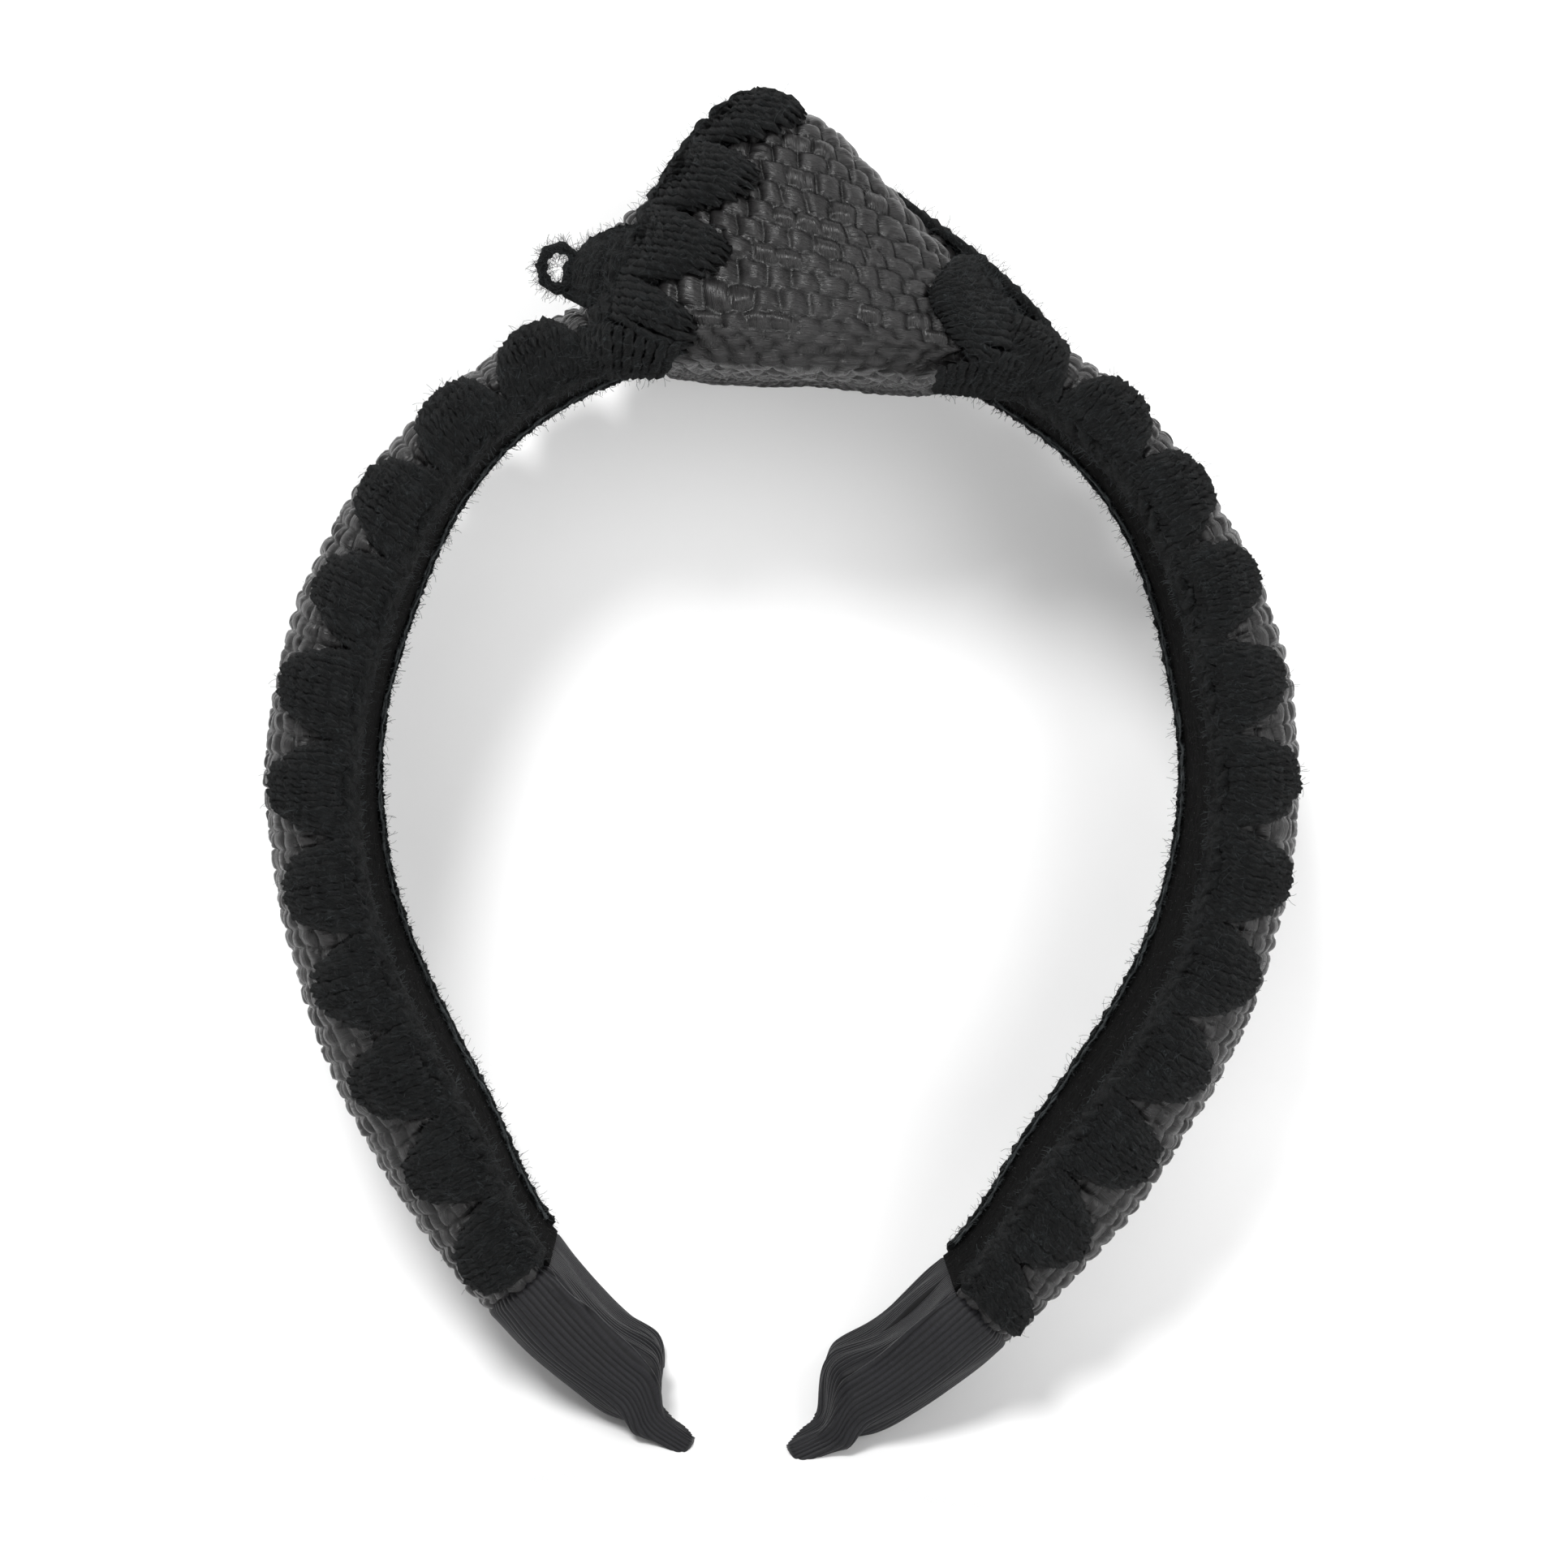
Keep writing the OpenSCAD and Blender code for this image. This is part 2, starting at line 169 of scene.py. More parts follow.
class Finish(bpy.types.PropertyGroup):
    """Colours of the finishes."""
    straw_dark: colour_prop("Straw, dark", (0.002, 0.0019, 0.002), "Darker tone of the straw")
    straw_light: colour_prop("Straw, light", (0.0105, 0.0100, 0.0102), "Lighter tone of the straw")
    # painted highlight: lighter fibres painted into the wool's colour
    wool: colour_prop("Wool", (0.0042, 0.0050, 0.0053), "Main tone of the wool")
    wool_light: colour_prop("Wool, light", (0.036, 0.042, 0.044), "Tone of single fibres in the light")
    ribbon: colour_prop("Ribbon", (0.0062, 0.0062, 0.0075), "Tone of the ribbon")
    felt: colour_prop("Felt", (0.0015, 0.0015, 0.0015), "Tone of the lining")
    thread: colour_prop("Thread", (0.055, 0.062, 0.064), "Tone of the sewing thread")
    floor: colour_prop("Floor", (0.86, 0.86, 0.86), "Tone of the floor and the backdrop")


def settings(name):
    """One of this script's groups of settings."""
    return getattr(bpy.context.scene, name)


def mm(value):
    """A property's metres as millimetres."""
    return value / MM


def node(tree, kind, **values):
    made = tree.nodes.new(kind)
    for key, value in values.items():
        setattr(made, key, value)
    return made


def link(tree, a, b):
    tree.links.new(a, b)


# ---------------------------------------------------------------- small maths
def ease(x):
    """0 below 0, 1 above 1 and a smooth step between."""
    x = np.clip(x, 0.0, 1.0)
    return x * x * (3 - 2 * x)


def blend(s, a, b):
    """A smooth step from 0 at a to 1 at b."""
    return ease((s - a) / (b - a))


def hash01(i, j, k):
    """A repeatable number from 0 to 1 for each whole (i, j) and each use k."""
    v = np.sin(np.asarray(i) * 12.9898 + np.asarray(j) * 78.233 + k * 37.719) * 43758.5453
    return v - np.floor(v)


def soft_noise(x, y, k):
    """Smooth noise from -1 to 1 with features about one unit across."""
    i, j = np.floor(x), np.floor(y)
    u, v = ease(x - i), ease(y - j)
    low = hash01(i, j, k) * (1 - u) + hash01(i + 1, j, k) * u
    high = hash01(i, j + 1, k) * (1 - u) + hash01(i + 1, j + 1, k) * u
    return 2 * (low * (1 - v) + high * v) - 1


def unit(v):
    return v / np.maximum(np.linalg.norm(v, axis=-1, keepdims=True), 1e-9)


def run_of(line):
    """Length along a line of points, from zero at its first point."""
    return np.concatenate([[0], np.cumsum(np.linalg.norm(np.diff(line, axis=0), axis=1))])


# ---------------------------------------------------------------- the band's path
class Band:
    """The band's path and outline, in millimetres. s runs from the top, negative to the left."""

    def __init__(self):
        b, t = settings("band_sizes"), settings("tip_sizes")
        self.r1, self.r2, self.gap = mm(b.crest_radius), mm(b.arm_radius), mm(b.head_gap)
        self.a1, self.a2 = b.crown_angle, b.tip_angle
        self.crown_s = self.r1 * self.a1
        self.tip_s = self.crown_s + self.r2 * (self.a2 - self.a1)
        self.sleeve_s = self.tip_s - mm(t.sleeve)
        self.pad_end = self.tip_s - mm(t.flat)
        self.hinge_s = self.r1 * b.hinge_angle
        self.side_s, self.ear_s = self.r1 * math.radians(75), self.r1 * math.radians(105)
        self.low_s = self.ear_s + 40
        self.b, self.t = b, t
        self.rim = mm(b.rim)
        self.lip = 5.0
        self.make_outline_table()

    def out(self, s):
        a = np.where(s <= self.crown_s, s / self.r1, self.a1 + (s - self.crown_s) / self.r2)
        return np.stack([np.sin(a), np.cos(a)], -1)

    def point(self, s, y, n):
        """The point at length s, y across the band and n outwards from the crest."""
        a = np.abs(s)
        o = self.out(a)
        turn = (self.r1 - self.r2) * np.array([math.sin(self.a1), math.cos(self.a1)])
        base = np.where((a <= self.crown_s)[..., None], self.r1 * o, turn + self.r2 * o)
        p = base + (n - mm(self.t.drop) * blend(a, self.pad_end - 5, self.pad_end + 3))[..., None] * o
        return np.stack([np.sign(s) * p[..., 0], y, p[..., 1] - self.gap], -1)

    def thick(self, s):
        b = self.b
        top, side, low, cuff = (mm(v) for v in (b.thick_top, b.thick_side, b.thick_low, b.thick_cuff))
        return (top + (side - top) * blend(s, self.hinge_s + 6, self.side_s)
                + (low - side) * blend(s, self.ear_s, self.low_s)
                + (cuff - low) * blend(s, self.low_s + 4, self.sleeve_s)
                - 2 * blend(s, self.sleeve_s, self.pad_end - 4)
                - (cuff - 2 - mm(self.t.thick)) * blend(s, self.pad_end - 5, self.pad_end + 3))

    def half_depth(self, s):
        b = self.b
        top, side, cuff = (mm(v) for v in (b.depth_top, b.depth_side, b.depth_cuff))
        return (top + (side - top) * blend(s, self.hinge_s, self.side_s)
                + (cuff - side) * blend(s, self.ear_s + 8, self.sleeve_s)
                + (mm(self.t.depth) - cuff) * blend(s, self.sleeve_s + 4, self.pad_end + 3)) / 2

    def outline(self, w, t):
        """The section as [y, n], from under the front rim over the crest to under the back rim."""
        r = 1.6
        corner = np.linspace(0, math.pi / 2, 9)
        a = np.linspace(0, math.pi, 120)
        dome = np.stack([-w * np.cos(a), -t + self.rim + (t - self.rim) * np.sin(a) ** 0.8], -1)
        under = np.array([[-w + self.lip, -t], [-w + (self.lip + r) / 2, -t]])
        bend = np.stack([-w + r - r * np.sin(corner), -t + r - r * np.cos(corner)], -1)
        half = np.concatenate([under, bend])
        mirror = half[::-1] * np.array([-1, 1])
        return np.concatenate([half, dome, mirror])

    def make_outline_table(self):
        self.s_grid = np.linspace(-self.tip_s, self.tip_s, 1001)
        self.total = np.empty(len(self.s_grid))
        yn = np.empty((len(self.s_grid), OUTLINE_SAMPLES, 2))
        thick, half = self.thick(np.abs(self.s_grid)), self.half_depth(np.abs(self.s_grid))
        for i, (w, t) in enumerate(zip(half, thick)):
            line = self.outline(w, max(t, self.rim + 1))
            run = run_of(line)
            self.total[i] = run[-1]
            even = np.linspace(0, run[-1], OUTLINE_SAMPLES)
            yn[i, :, 0] = np.interp(even, run, line[:, 0])
            yn[i, :, 1] = np.interp(even, run, line[:, 1])
        s = np.repeat(self.s_grid[:, None], OUTLINE_SAMPLES, 1)
        self.places = self.point(s, yn[..., 0], yn[..., 1])
        along, across = np.gradient(self.places, axis=0), np.gradient(self.places, axis=1)
        self.normals = unit(np.cross(along, across))
        self.corner_q = self.lip - 0.4

    def sample(self, table, s, k):
        i = np.clip((s - self.s_grid[0]) / (self.s_grid[1] - self.s_grid[0]), 0, len(self.s_grid) - 1.001)
        k = np.clip(k, 0, OUTLINE_SAMPLES - 1.001)
        i0, k0 = np.floor(i).astype(int), np.floor(k).astype(int)
        u, v = (i - i0)[..., None], (k - k0)[..., None]
        low = table[i0, k0] * (1 - v) + table[i0, k0 + 1] * v
        high = table[i0 + 1, k0] * (1 - v) + table[i0 + 1, k0 + 1] * v
        return low * (1 - u) + high * u

    def at_share(self, s, share, lift=0.0):
        """The point at a share of the outline, from 0 under the front rim to 1 under the back rim."""
        k = share * (OUTLINE_SAMPLES - 1)
        n = unit(self.sample(self.normals, s, k))
        return self.sample(self.places, s, k) + n * np.asarray(lift)[..., None], n

    def from_rim(self, s, q, face, lift=0.0):
        """The point q up the outline from a rim's edge; a negative q is under the rim."""
        total = np.interp(s, self.s_grid, self.total)
        share = (self.corner_q + q) / total
        return self.at_share(s, share if face == FRONT else 1 - share, lift)


# ---------------------------------------------------------------- mesh helpers
def new_object(name, mesh):
    obj = bpy.data.objects.new(name, mesh)
    bpy.context.scene.collection.objects.link(obj)
    return obj


def mesh_object(name, points, faces):
    """A mesh from points in millimetres and lists of equal-sided faces."""
    mesh = bpy.data.meshes.new(name)
    loops = np.concatenate([np.asarray(f).ravel() for f in faces])
    sizes = np.concatenate([np.full(len(f), np.asarray(f).shape[1]) for f in faces])
    mesh.vertices.add(len(points))
    mesh.vertices.foreach_set("co", (np.asarray(points, np.float32) * MM).ravel())
    mesh.loops.add(len(loops))
    mesh.loops.foreach_set("vertex_index", loops.astype(np.int32))
    mesh.polygons.add(len(sizes))
    starts = np.concatenate([[0], np.cumsum(sizes)[:-1]])
    mesh.polygons.foreach_set("loop_start", starts.astype(np.int32))
    mesh.polygons.foreach_set("use_smooth", np.ones(len(sizes), bool))
    mesh.update(calc_edges=True)
    mesh.validate()
    return new_object(name, mesh)


def grid_quads(rows, cols, closed_cols=False):
    """Faces of a grid of points, rows by cols, with the columns joined round if closed."""
    i, j = np.meshgrid(np.arange(rows - 1), np.arange(cols if closed_cols else cols - 1), indexing="ij")
    k = (j + 1) % cols
    return np.stack([i * cols + j, i * cols + k, (i + 1) * cols + k, (i + 1) * cols + j], -1).reshape(-1, 4)


def tube_faces(rows, cols):
    """Faces of a closed tube of rings: its sides, and a polygon over each end."""
    sides = grid_quads(rows, cols, closed_cols=True)
    near = np.arange(cols)[::-1][None, :]
    far = (np.arange(cols) + (rows - 1) * cols)[None, :]
    return [sides, near, far]


def outward(obj):
    """Turns every face outwards, after its doubles are merged."""
    work = bmesh.new()
    work.from_mesh(obj.data)
    bmesh.ops.remove_doubles(work, verts=work.verts, dist=1e-7)
    bmesh.ops.recalc_face_normals(work, faces=work.faces)
    work.to_mesh(obj.data)
    work.free()
    return obj


def give(obj, material):
    obj.data.materials.clear()
    obj.data.materials.append(material)
    return obj


# ---------------------------------------------------------------- woven straw
def weave(cu, cv, seed, brick=0.0):
    """Relief of a weave at cell coordinates: height from 0 to 1, which floats run along v, and cells."""
    fine = 0.05 * soft_noise(cu * 2.1, cv * 2.1, seed + 1)
    cu = cu + 0.2 * soft_noise(cu * 0.6, cv * 0.6, seed) + fine
    fine = 0.05 * soft_noise(cu * 2.1, cv * 2.1, seed + 3)
    cv = cv + 0.2 * soft_noise(cu * 0.6, cv * 0.6, seed + 2) + fine
    j = np.floor(cv)
    cu = cu + brick * 0.5 * np.mod(j, 2)
    i = np.floor(cu)
    fu, fv = cu - i, cv - j
    checker = np.mod(i + j, 2) == 0
    upright = np.where(brick > 0, hash01(i, j, seed + 15) < 0.22, checker)
    along, across = np.where(upright, fv, fu), np.where(upright, fu, fv)
    pillow = (1 - np.abs(2 * along - 1) ** 2.4) ** 0.65 * (1 - np.abs(2 * across - 1) ** 4) ** 0.55
    end_tilt = 0.5 * (hash01(i, j, seed + 11) - 0.5) * (2 * along - 1)
    tilt = end_tilt + 0.6 * (hash01(i, j, seed + 12) - 0.5) * (2 * across - 1)
    place = 0.2 + 0.6 * hash01(i, j, seed + 7)
    crease = 0.22 * hash01(i, j, seed + 8) * np.exp(-((across - place) / 0.07) ** 2)
    level = 0.84 + 0.3 * (hash01(i, j, seed + 13) - 0.5)
    return pillow * (level + tilt - crease), upright, i, j


def store_weave(obj, cu, cv, quads, cell_u, cell_v, seed, brick=0.0):
    """Gives each face its straw's coordinates, in millimetres across and along the fibres, and a tone, and
    each point the weave's height, which the straw's material turns into painted shade in the gaps.
    """
    mesh = obj.data
    rise = weave(cu, cv, seed, brick)[0]
    mesh.attributes.new("rise", "FLOAT", "POINT").data.foreach_set("value", rise.astype(np.float32))
    centre_u, centre_v = cu[quads].mean(1), cv[quads].mean(1)
    _, is_warp, i, j = weave(centre_u, centre_v, seed, brick)
    across = np.where(is_warp[:, None], (cu[quads] - i[:, None]) * cell_u, (cv[quads] - j[:, None]) * cell_v)
    along = np.where(is_warp[:, None], (cv[quads] - j[:, None]) * cell_v, (cu[quads] - i[:, None]) * cell_u)
    across = across + 31 * hash01(i, j, seed + 20)[:, None]
    along = along + 17 * hash01(i, j, seed + 21)[:, None]
    count = len(mesh.loops)
    uv = np.zeros((count, 2), np.float32)
    uv[: len(quads) * 4] = np.stack([across, along], -1).reshape(-1, 2)
    mesh.uv_layers.new(name="grain").data.foreach_set("uv", uv.ravel())
    tone = np.full(len(mesh.polygons), 0.5, np.float32)
    tone[: len(quads)] = hash01(i, j, seed + 22)
    mesh.attributes.new("tone", "FLOAT", "FACE").data.foreach_set("value", tone)


def straw_cover(band, side, start_s, end_s, seed):
    """One half of the woven cover, a closed skin round the padding with the weave in relief."""
    w = settings("weave_sizes")
    step, relief, cell_v = mm(w.step), mm(w.relief), mm(w.cell_along)
    rows = int((end_s - start_s) / step)
    s = np.linspace(start_s, end_s, rows) * side
    cols = 150
    share = np.linspace(0.035, 0.965, cols)
    ss, kk = np.meshgrid(s, share, indexing="ij")
    cu, cv = kk * w.cells_across, ss / cell_v
    height, _, _, _ = weave(cu, cv, seed)
    edge = np.minimum(1, np.minimum(kk - share[0], share[-1] - kk) / 0.02)
    sag = 0.35 * soft_noise(ss / 9, kk * 6, seed + 30)
    lift = relief * (height - 0.75) * edge + sag * edge
    fold = blend(np.abs(ss), end_s - 1.6, end_s)
    lift = lift - 0.5 * fold * fold
    ss = ss + side * 0.9 * fold * soft_noise(kk * 23, kk * 0, seed + 33)
    points, _ = band.at_share(ss, kk, lift)
    inner, _ = band.at_share(ss[:, :1], kk[:, :1] * 0 + 0.01, np.zeros((rows, 1)) - 0.9)
    far, _ = band.at_share(ss[:, :1], kk[:, :1] * 0 + 0.99, np.zeros((rows, 1)) - 0.9)
    ring = np.concatenate([points, far, inner], 1)
    cols_all = ring.shape[1]
    faces = tube_faces(rows, cols_all)
    if side == LEFT:
        faces = [f[:, ::-1] for f in faces]
    cu_all = np.concatenate([cu, cu[:, -1:], cu[:, :1]], 1).ravel()
    cv_all = np.concatenate([cv, cv[:, -1:], cv[:, :1]], 1).ravel()
    obj = mesh_object(f"{SIDE_NAME[side]}_straw_cover", ring.reshape(-1, 3), faces)
    store_weave(obj, cu_all, cv_all, faces[0], STRAW_WIDTH, cell_v, seed)
    return obj


# ---------------------------------------------------------------- yarns
def node_group(name, inputs):
    """A new Geometry Nodes group with a geometry in and out, and named inputs with their defaults."""
    tree = bpy.data.node_groups.new(name, "GeometryNodeTree")
    tree.interface.new_socket("Geometry", in_out="INPUT", socket_type="NodeSocketGeometry")
    for key, kind, value in inputs:
        item = tree.interface.new_socket(key, in_out="INPUT", socket_type=f"NodeSocket{kind}")
        if value is not None:
            item.default_value = value
    tree.interface.new_socket("Geometry", in_out="OUTPUT", socket_type="NodeSocketGeometry")
    return tree


def add_nodes(tree, table):
    """Adds nodes from (label, kind, options, inputs) and returns them by label."""
    made = {}
    for label, kind, options, inputs in table:
        made[label] = node(tree, kind, **options)
        for key, value in inputs.items():
            made[label].inputs[key].default_value = value
    return made


def wire(tree, nodes, wires):
    """Links (from label, its output, to label, its input)."""
    for start, output, end, into in wires:
        tree.links.new(nodes[start].outputs[output], nodes[end].inputs[into])


def yarn_tree():
    """Geometry Nodes: draws every line of the input as a plied yarn."""
    if "Yarn" in bpy.data.node_groups:
        return bpy.data.node_groups["Yarn"]
    tree = node_group("Yarn", (
        ("Sides", "Int", YARN_SIDES), ("Twist", "Float", 1400.0), ("Ply depth", "Float", PLY_DEPTH),
        ("Material", "Material", None)))
    store = "GeometryNodeStoreNamedAttribute"
    on_points = {"data_type": "FLOAT", "domain": "POINT"}
    nodes = add_nodes(tree, (
        ("in", "NodeGroupInput", {}, {}), ("out", "NodeGroupOutput", {}, {}),
        ("lines", "GeometryNodeMeshToCurve", {}, {}),
        ("thick", "GeometryNodeInputNamedAttribute", {"data_type": "FLOAT"}, {"Name": "thick"}),
        ("radius", "GeometryNodeSetCurveRadius", {}, {}), ("tilt", "GeometryNodeSetCurveTilt", {}, {}),
        ("length", "GeometryNodeSplineParameter", {}, {}),
        ("turn", "ShaderNodeMath", {"operation": "MULTIPLY"}, {}),
        ("ring", "GeometryNodeCurvePrimitiveCircle", {}, {"Radius": 1.0}),
        ("ring place", "GeometryNodeSplineParameter", {}, {}),
        ("two lobes", "ShaderNodeMath", {"operation": "MULTIPLY"}, {1: 4 * math.pi}),
        ("wave", "ShaderNodeMath", {"operation": "COSINE"}, {}),
        ("swell", "ShaderNodeMath", {"operation": "MULTIPLY_ADD"}, {2: 1.0}),
        ("position", "GeometryNodeInputPosition", {}, {}),
        ("grow", "ShaderNodeVectorMath", {"operation": "SCALE"}, {}),
        ("profile", "GeometryNodeSetPosition", {}, {}),
        ("keep along", "GeometryNodeCaptureAttribute", {}, {}),
        ("keep round", "GeometryNodeCaptureAttribute", {}, {}),
        ("mesh", "GeometryNodeCurveToMesh", {}, {"Fill Caps": True}),
        ("along", store, on_points, {"Name": "along"}), ("around", store, on_points, {"Name": "around"}),
        ("smooth", "GeometryNodeSetShadeSmooth", {}, {}),
        ("realize", "GeometryNodeRealizeInstances", {}, {}), ("paint", "GeometryNodeSetMaterial", {}, {})))
    nodes["keep along"].capture_items.new("FLOAT", "Along")
    nodes["keep round"].capture_items.new("FLOAT", "Round")
    wire(tree, nodes, (
        ("in", "Geometry", "lines", "Mesh"), ("lines", "Curve", "radius", "Curve"),
        ("thick", "Attribute", "radius", "Radius"),
        ("length", "Length", "turn", 0), ("in", "Twist", "turn", 1),
        ("radius", "Curve", "tilt", "Curve"), ("turn", 0, "tilt", "Tilt"),
        ("tilt", "Curve", "keep along", "Geometry"), ("length", "Length", "keep along", "Along"),
        ("in", "Sides", "ring", "Resolution"), ("ring", "Curve", "keep round", "Geometry"),
        ("ring place", "Factor", "keep round", "Round"), ("ring place", "Factor", "two lobes", 0),
        ("two lobes", 0, "wave", 0), ("wave", 0, "swell", 0), ("in", "Ply depth", "swell", 1),
        ("position", "Position", "grow", 0), ("swell", 0, "grow", "Scale"),
        ("keep round", "Geometry", "profile", "Geometry"), ("grow", 0, "profile", "Position"),
        ("keep along", "Geometry", "mesh", "Curve"), ("profile", "Geometry", "mesh", "Profile Curve"),
        ("thick", "Attribute", "mesh", "Scale"), ("mesh", "Mesh", "along", "Geometry"),
        ("keep along", "Along", "along", "Value"), ("along", "Geometry", "around", "Geometry"),
        ("keep round", "Round", "around", "Value"), ("around", "Geometry", "smooth", "Geometry"),
        ("smooth", "Geometry", "realize", "Geometry"), ("realize", "Geometry", "paint", "Geometry"),
        ("in", "Material", "paint", "Material"), ("paint", "Geometry", "out", "Geometry")))
    return tree


def socket_id(tree, name):
    for item in tree.interface.items_tree:
        if item.in_out == "INPUT" and item.name == name:
            return item.identifier
    raise KeyError(name)


def grow_nodes(obj, tree, values, name):
    """Runs a Geometry Nodes tree on obj and returns its result as a new plain mesh object."""
    modifier = obj.modifiers.new(tree.name, "NODES")
    modifier.node_group = tree
    for key, value in values.items():
        modifier[socket_id(tree, key)] = value
    bpy.context.view_layer.update()
    result = obj.evaluated_get(bpy.context.evaluated_depsgraph_get())
    mesh = bpy.data.meshes.new_from_object(result)
    obj.modifiers.remove(modifier)
    mesh.name = name
    return new_object(name, mesh)


def yarns(name, lines, radii, material, twist=1400.0):
    """Yarns along lines of points in millimetres, [yarn, point, xyz], with a radius at each point."""
    count, length = lines.shape[:2]
    mesh = bpy.data.meshes.new(name + "_lines")
    mesh.vertices.add(count * length)
    mesh.vertices.foreach_set("co", (lines.reshape(-1, 3) * MM).astype(np.float32).ravel())
    first = (np.arange(count)[:, None] * length + np.arange(length - 1)[None, :]).ravel()
    mesh.edges.add(len(first))
    mesh.edges.foreach_set("vertices", np.stack([first, first + 1], -1).astype(np.int32).ravel())
    thick = np.broadcast_to(radii, (count, length)) * MM
    stored = mesh.attributes.new("thick", "FLOAT", "POINT")
    stored.data.foreach_set("value", thick.astype(np.float32).ravel())
    mesh.update()
    guide = new_object(name + "_lines", mesh)
    values = {"Sides": YARN_SIDES, "Twist": twist, "Ply depth": PLY_DEPTH, "Material": material}
    obj = grow_nodes(guide, yarn_tree(), values, name)
    bpy.data.objects.remove(guide)
    return obj


def fuzz_tree():
    """Geometry Nodes: loose bent hairs scattered over the input."""
    if "Fuzz" in bpy.data.node_groups:
        return bpy.data.node_groups["Fuzz"]
    tree = node_group("Fuzz", (
        ("Density", "Float", 1e6), ("Length", "Float", 0.0016), ("Thickness", "Float", 3e-5),
        ("Lean", "Float", 0.9), ("Seed", "Int", None), ("Material", "Material", None)))
    random, vector = "FunctionNodeRandomValue", {"data_type": "FLOAT_VECTOR"}
    nodes = add_nodes(tree, (
        ("in", "NodeGroupInput", {}, {}), ("out", "NodeGroupOutput", {}, {}),
        ("scatter", "GeometryNodeDistributePointsOnFaces", {}, {}),
        ("arc", "GeometryNodeCurveQuadraticBezier", {},
         {"Resolution": 3, "Start": (0, 0, -0.08), "Middle": (0, 0, 0.55), "End": (0.42, 0.1, 0.86)}),
        ("ring", "GeometryNodeCurvePrimitiveCircle", {}, {"Resolution": 3}),
        ("hair", "GeometryNodeCurveToMesh", {}, {"Fill Caps": True}),
        ("fine", "ShaderNodeMath", {"operation": "DIVIDE"}, {}),
        ("spread", random, vector, {0: (-1, -1, -1), 1: (1, 1, 1)}),
        ("lean", "ShaderNodeVectorMath", {"operation": "SCALE"}, {}),
        ("aim", "ShaderNodeVectorMath", {"operation": "ADD"}, {}),
        ("align", "FunctionNodeAlignRotationToVector", {"axis": "Z"}, {}),
        ("spin", random, vector, {0: (0, 0, 0), 1: (0, 0, 2 * math.pi)}),
        ("to turn", "FunctionNodeEulerToRotation", {}, {}),
        ("turn", "FunctionNodeRotateRotation", {"rotation_space": "LOCAL"}, {}),
        ("size", random, {"data_type": "FLOAT"}, {2: 0.35, 3: 1.25}),
        ("long", "ShaderNodeMath", {"operation": "MULTIPLY"}, {}),
        ("plant", "GeometryNodeInstanceOnPoints", {}, {}),
        ("realize", "GeometryNodeRealizeInstances", {}, {}), ("paint", "GeometryNodeSetMaterial", {}, {})))
    wire(tree, nodes, (
        ("in", "Geometry", "scatter", "Mesh"), ("in", "Density", "scatter", "Density"),
        ("in", "Seed", "scatter", "Seed"), ("in", "Thickness", "fine", 0), ("in", "Length", "fine", 1),
        ("fine", 0, "ring", "Radius"),
        ("arc", "Curve", "hair", "Curve"), ("ring", "Curve", "hair", "Profile Curve"),
        ("spread", 0, "lean", 0), ("in", "Lean", "lean", "Scale"), ("scatter", "Normal", "aim", 0),
        ("lean", 0, "aim", 1), ("aim", 0, "align", "Vector"), ("spin", 0, "to turn", 0),
        ("align", 0, "turn", 0), ("to turn", 0, "turn", 1),
        ("size", 1, "long", 0), ("in", "Length", "long", 1),
        ("scatter", "Points", "plant", "Points"), ("hair", "Mesh", "plant", "Instance"),
        ("turn", 0, "plant", "Rotation"), ("long", 0, "plant", "Scale"),
        ("plant", "Instances", "realize", "Geometry"), ("realize", "Geometry", "paint", "Geometry"),
        ("in", "Material", "paint", "Material"), ("paint", "Geometry", "out", "Geometry")))
    return tree


def area_of(obj):
    return sum(p.area for p in obj.data.polygons)


def fuzz(name, base, hairs, length_mm, material, seed, lean=1.1, thick_mm=0.024):
    """Loose hairs on a wool piece, as a piece of their own."""
    values = {"Density": hairs / max(area_of(base), 1e-9), "Length": length_mm * MM,
              "Thickness": thick_mm * MM, "Lean": lean, "Seed": seed, "Material": material}
    return grow_nodes(base, fuzz_tree(), values, name)


# ---------------------------------------------------------------- finishes
def blank(name, roughness, sheen=0.0, specular=0.5):
    """A new Principled material, with what stays the same all over set on its own sockets."""
    if name in bpy.data.materials:
        return bpy.data.materials[name], None, None
    material = bpy.data.materials.new(name)
    material.use_nodes = True
    tree = material.node_tree
    shader = tree.nodes["Principled BSDF"]
    shader.inputs["Roughness"].default_value = roughness
    shader.inputs["Specular IOR Level"].default_value = specular
    shader.inputs["Sheen Weight"].default_value = sheen
    shader.inputs["Sheen Roughness"].default_value = 0.5
    return material, tree, shader


def noise(tree, vector, scale, stretch=(1, 1, 1), detail=3.0):
    """A noise value read from vector, stretched along its axes."""
    mapping = node(tree, "ShaderNodeMapping")
    mapping.inputs["Scale"].default_value = stretch
    made = node(tree, "ShaderNodeTexNoise")
    made.inputs["Scale"].default_value = scale
    made.inputs["Detail"].default_value = detail
    link(tree, vector, mapping.inputs["Vector"])
    link(tree, mapping.outputs["Vector"], made.inputs["Vector"])
    return made.outputs["Fac"]


def ramp(tree, value, stops):
    made = node(tree, "ShaderNodeValToRGB")
    points = made.color_ramp.elements
    while len(points) < len(stops):
        points.new(0.5)
    for point, (place, colour) in zip(points, stops):
        point.position = place
        point.color = (*colour, 1)
    link(tree, value, made.inputs["Fac"])
    return made.outputs["Color"]


def bump(tree, shader, height, strength, distance_mm):
    made = node(tree, "ShaderNodeBump")
    made.inputs["Strength"].default_value = strength
    made.inputs["Distance"].default_value = distance_mm * MM
    link(tree, height, made.inputs["Height"])
    link(tree, made.outputs["Normal"], shader.inputs["Normal"])


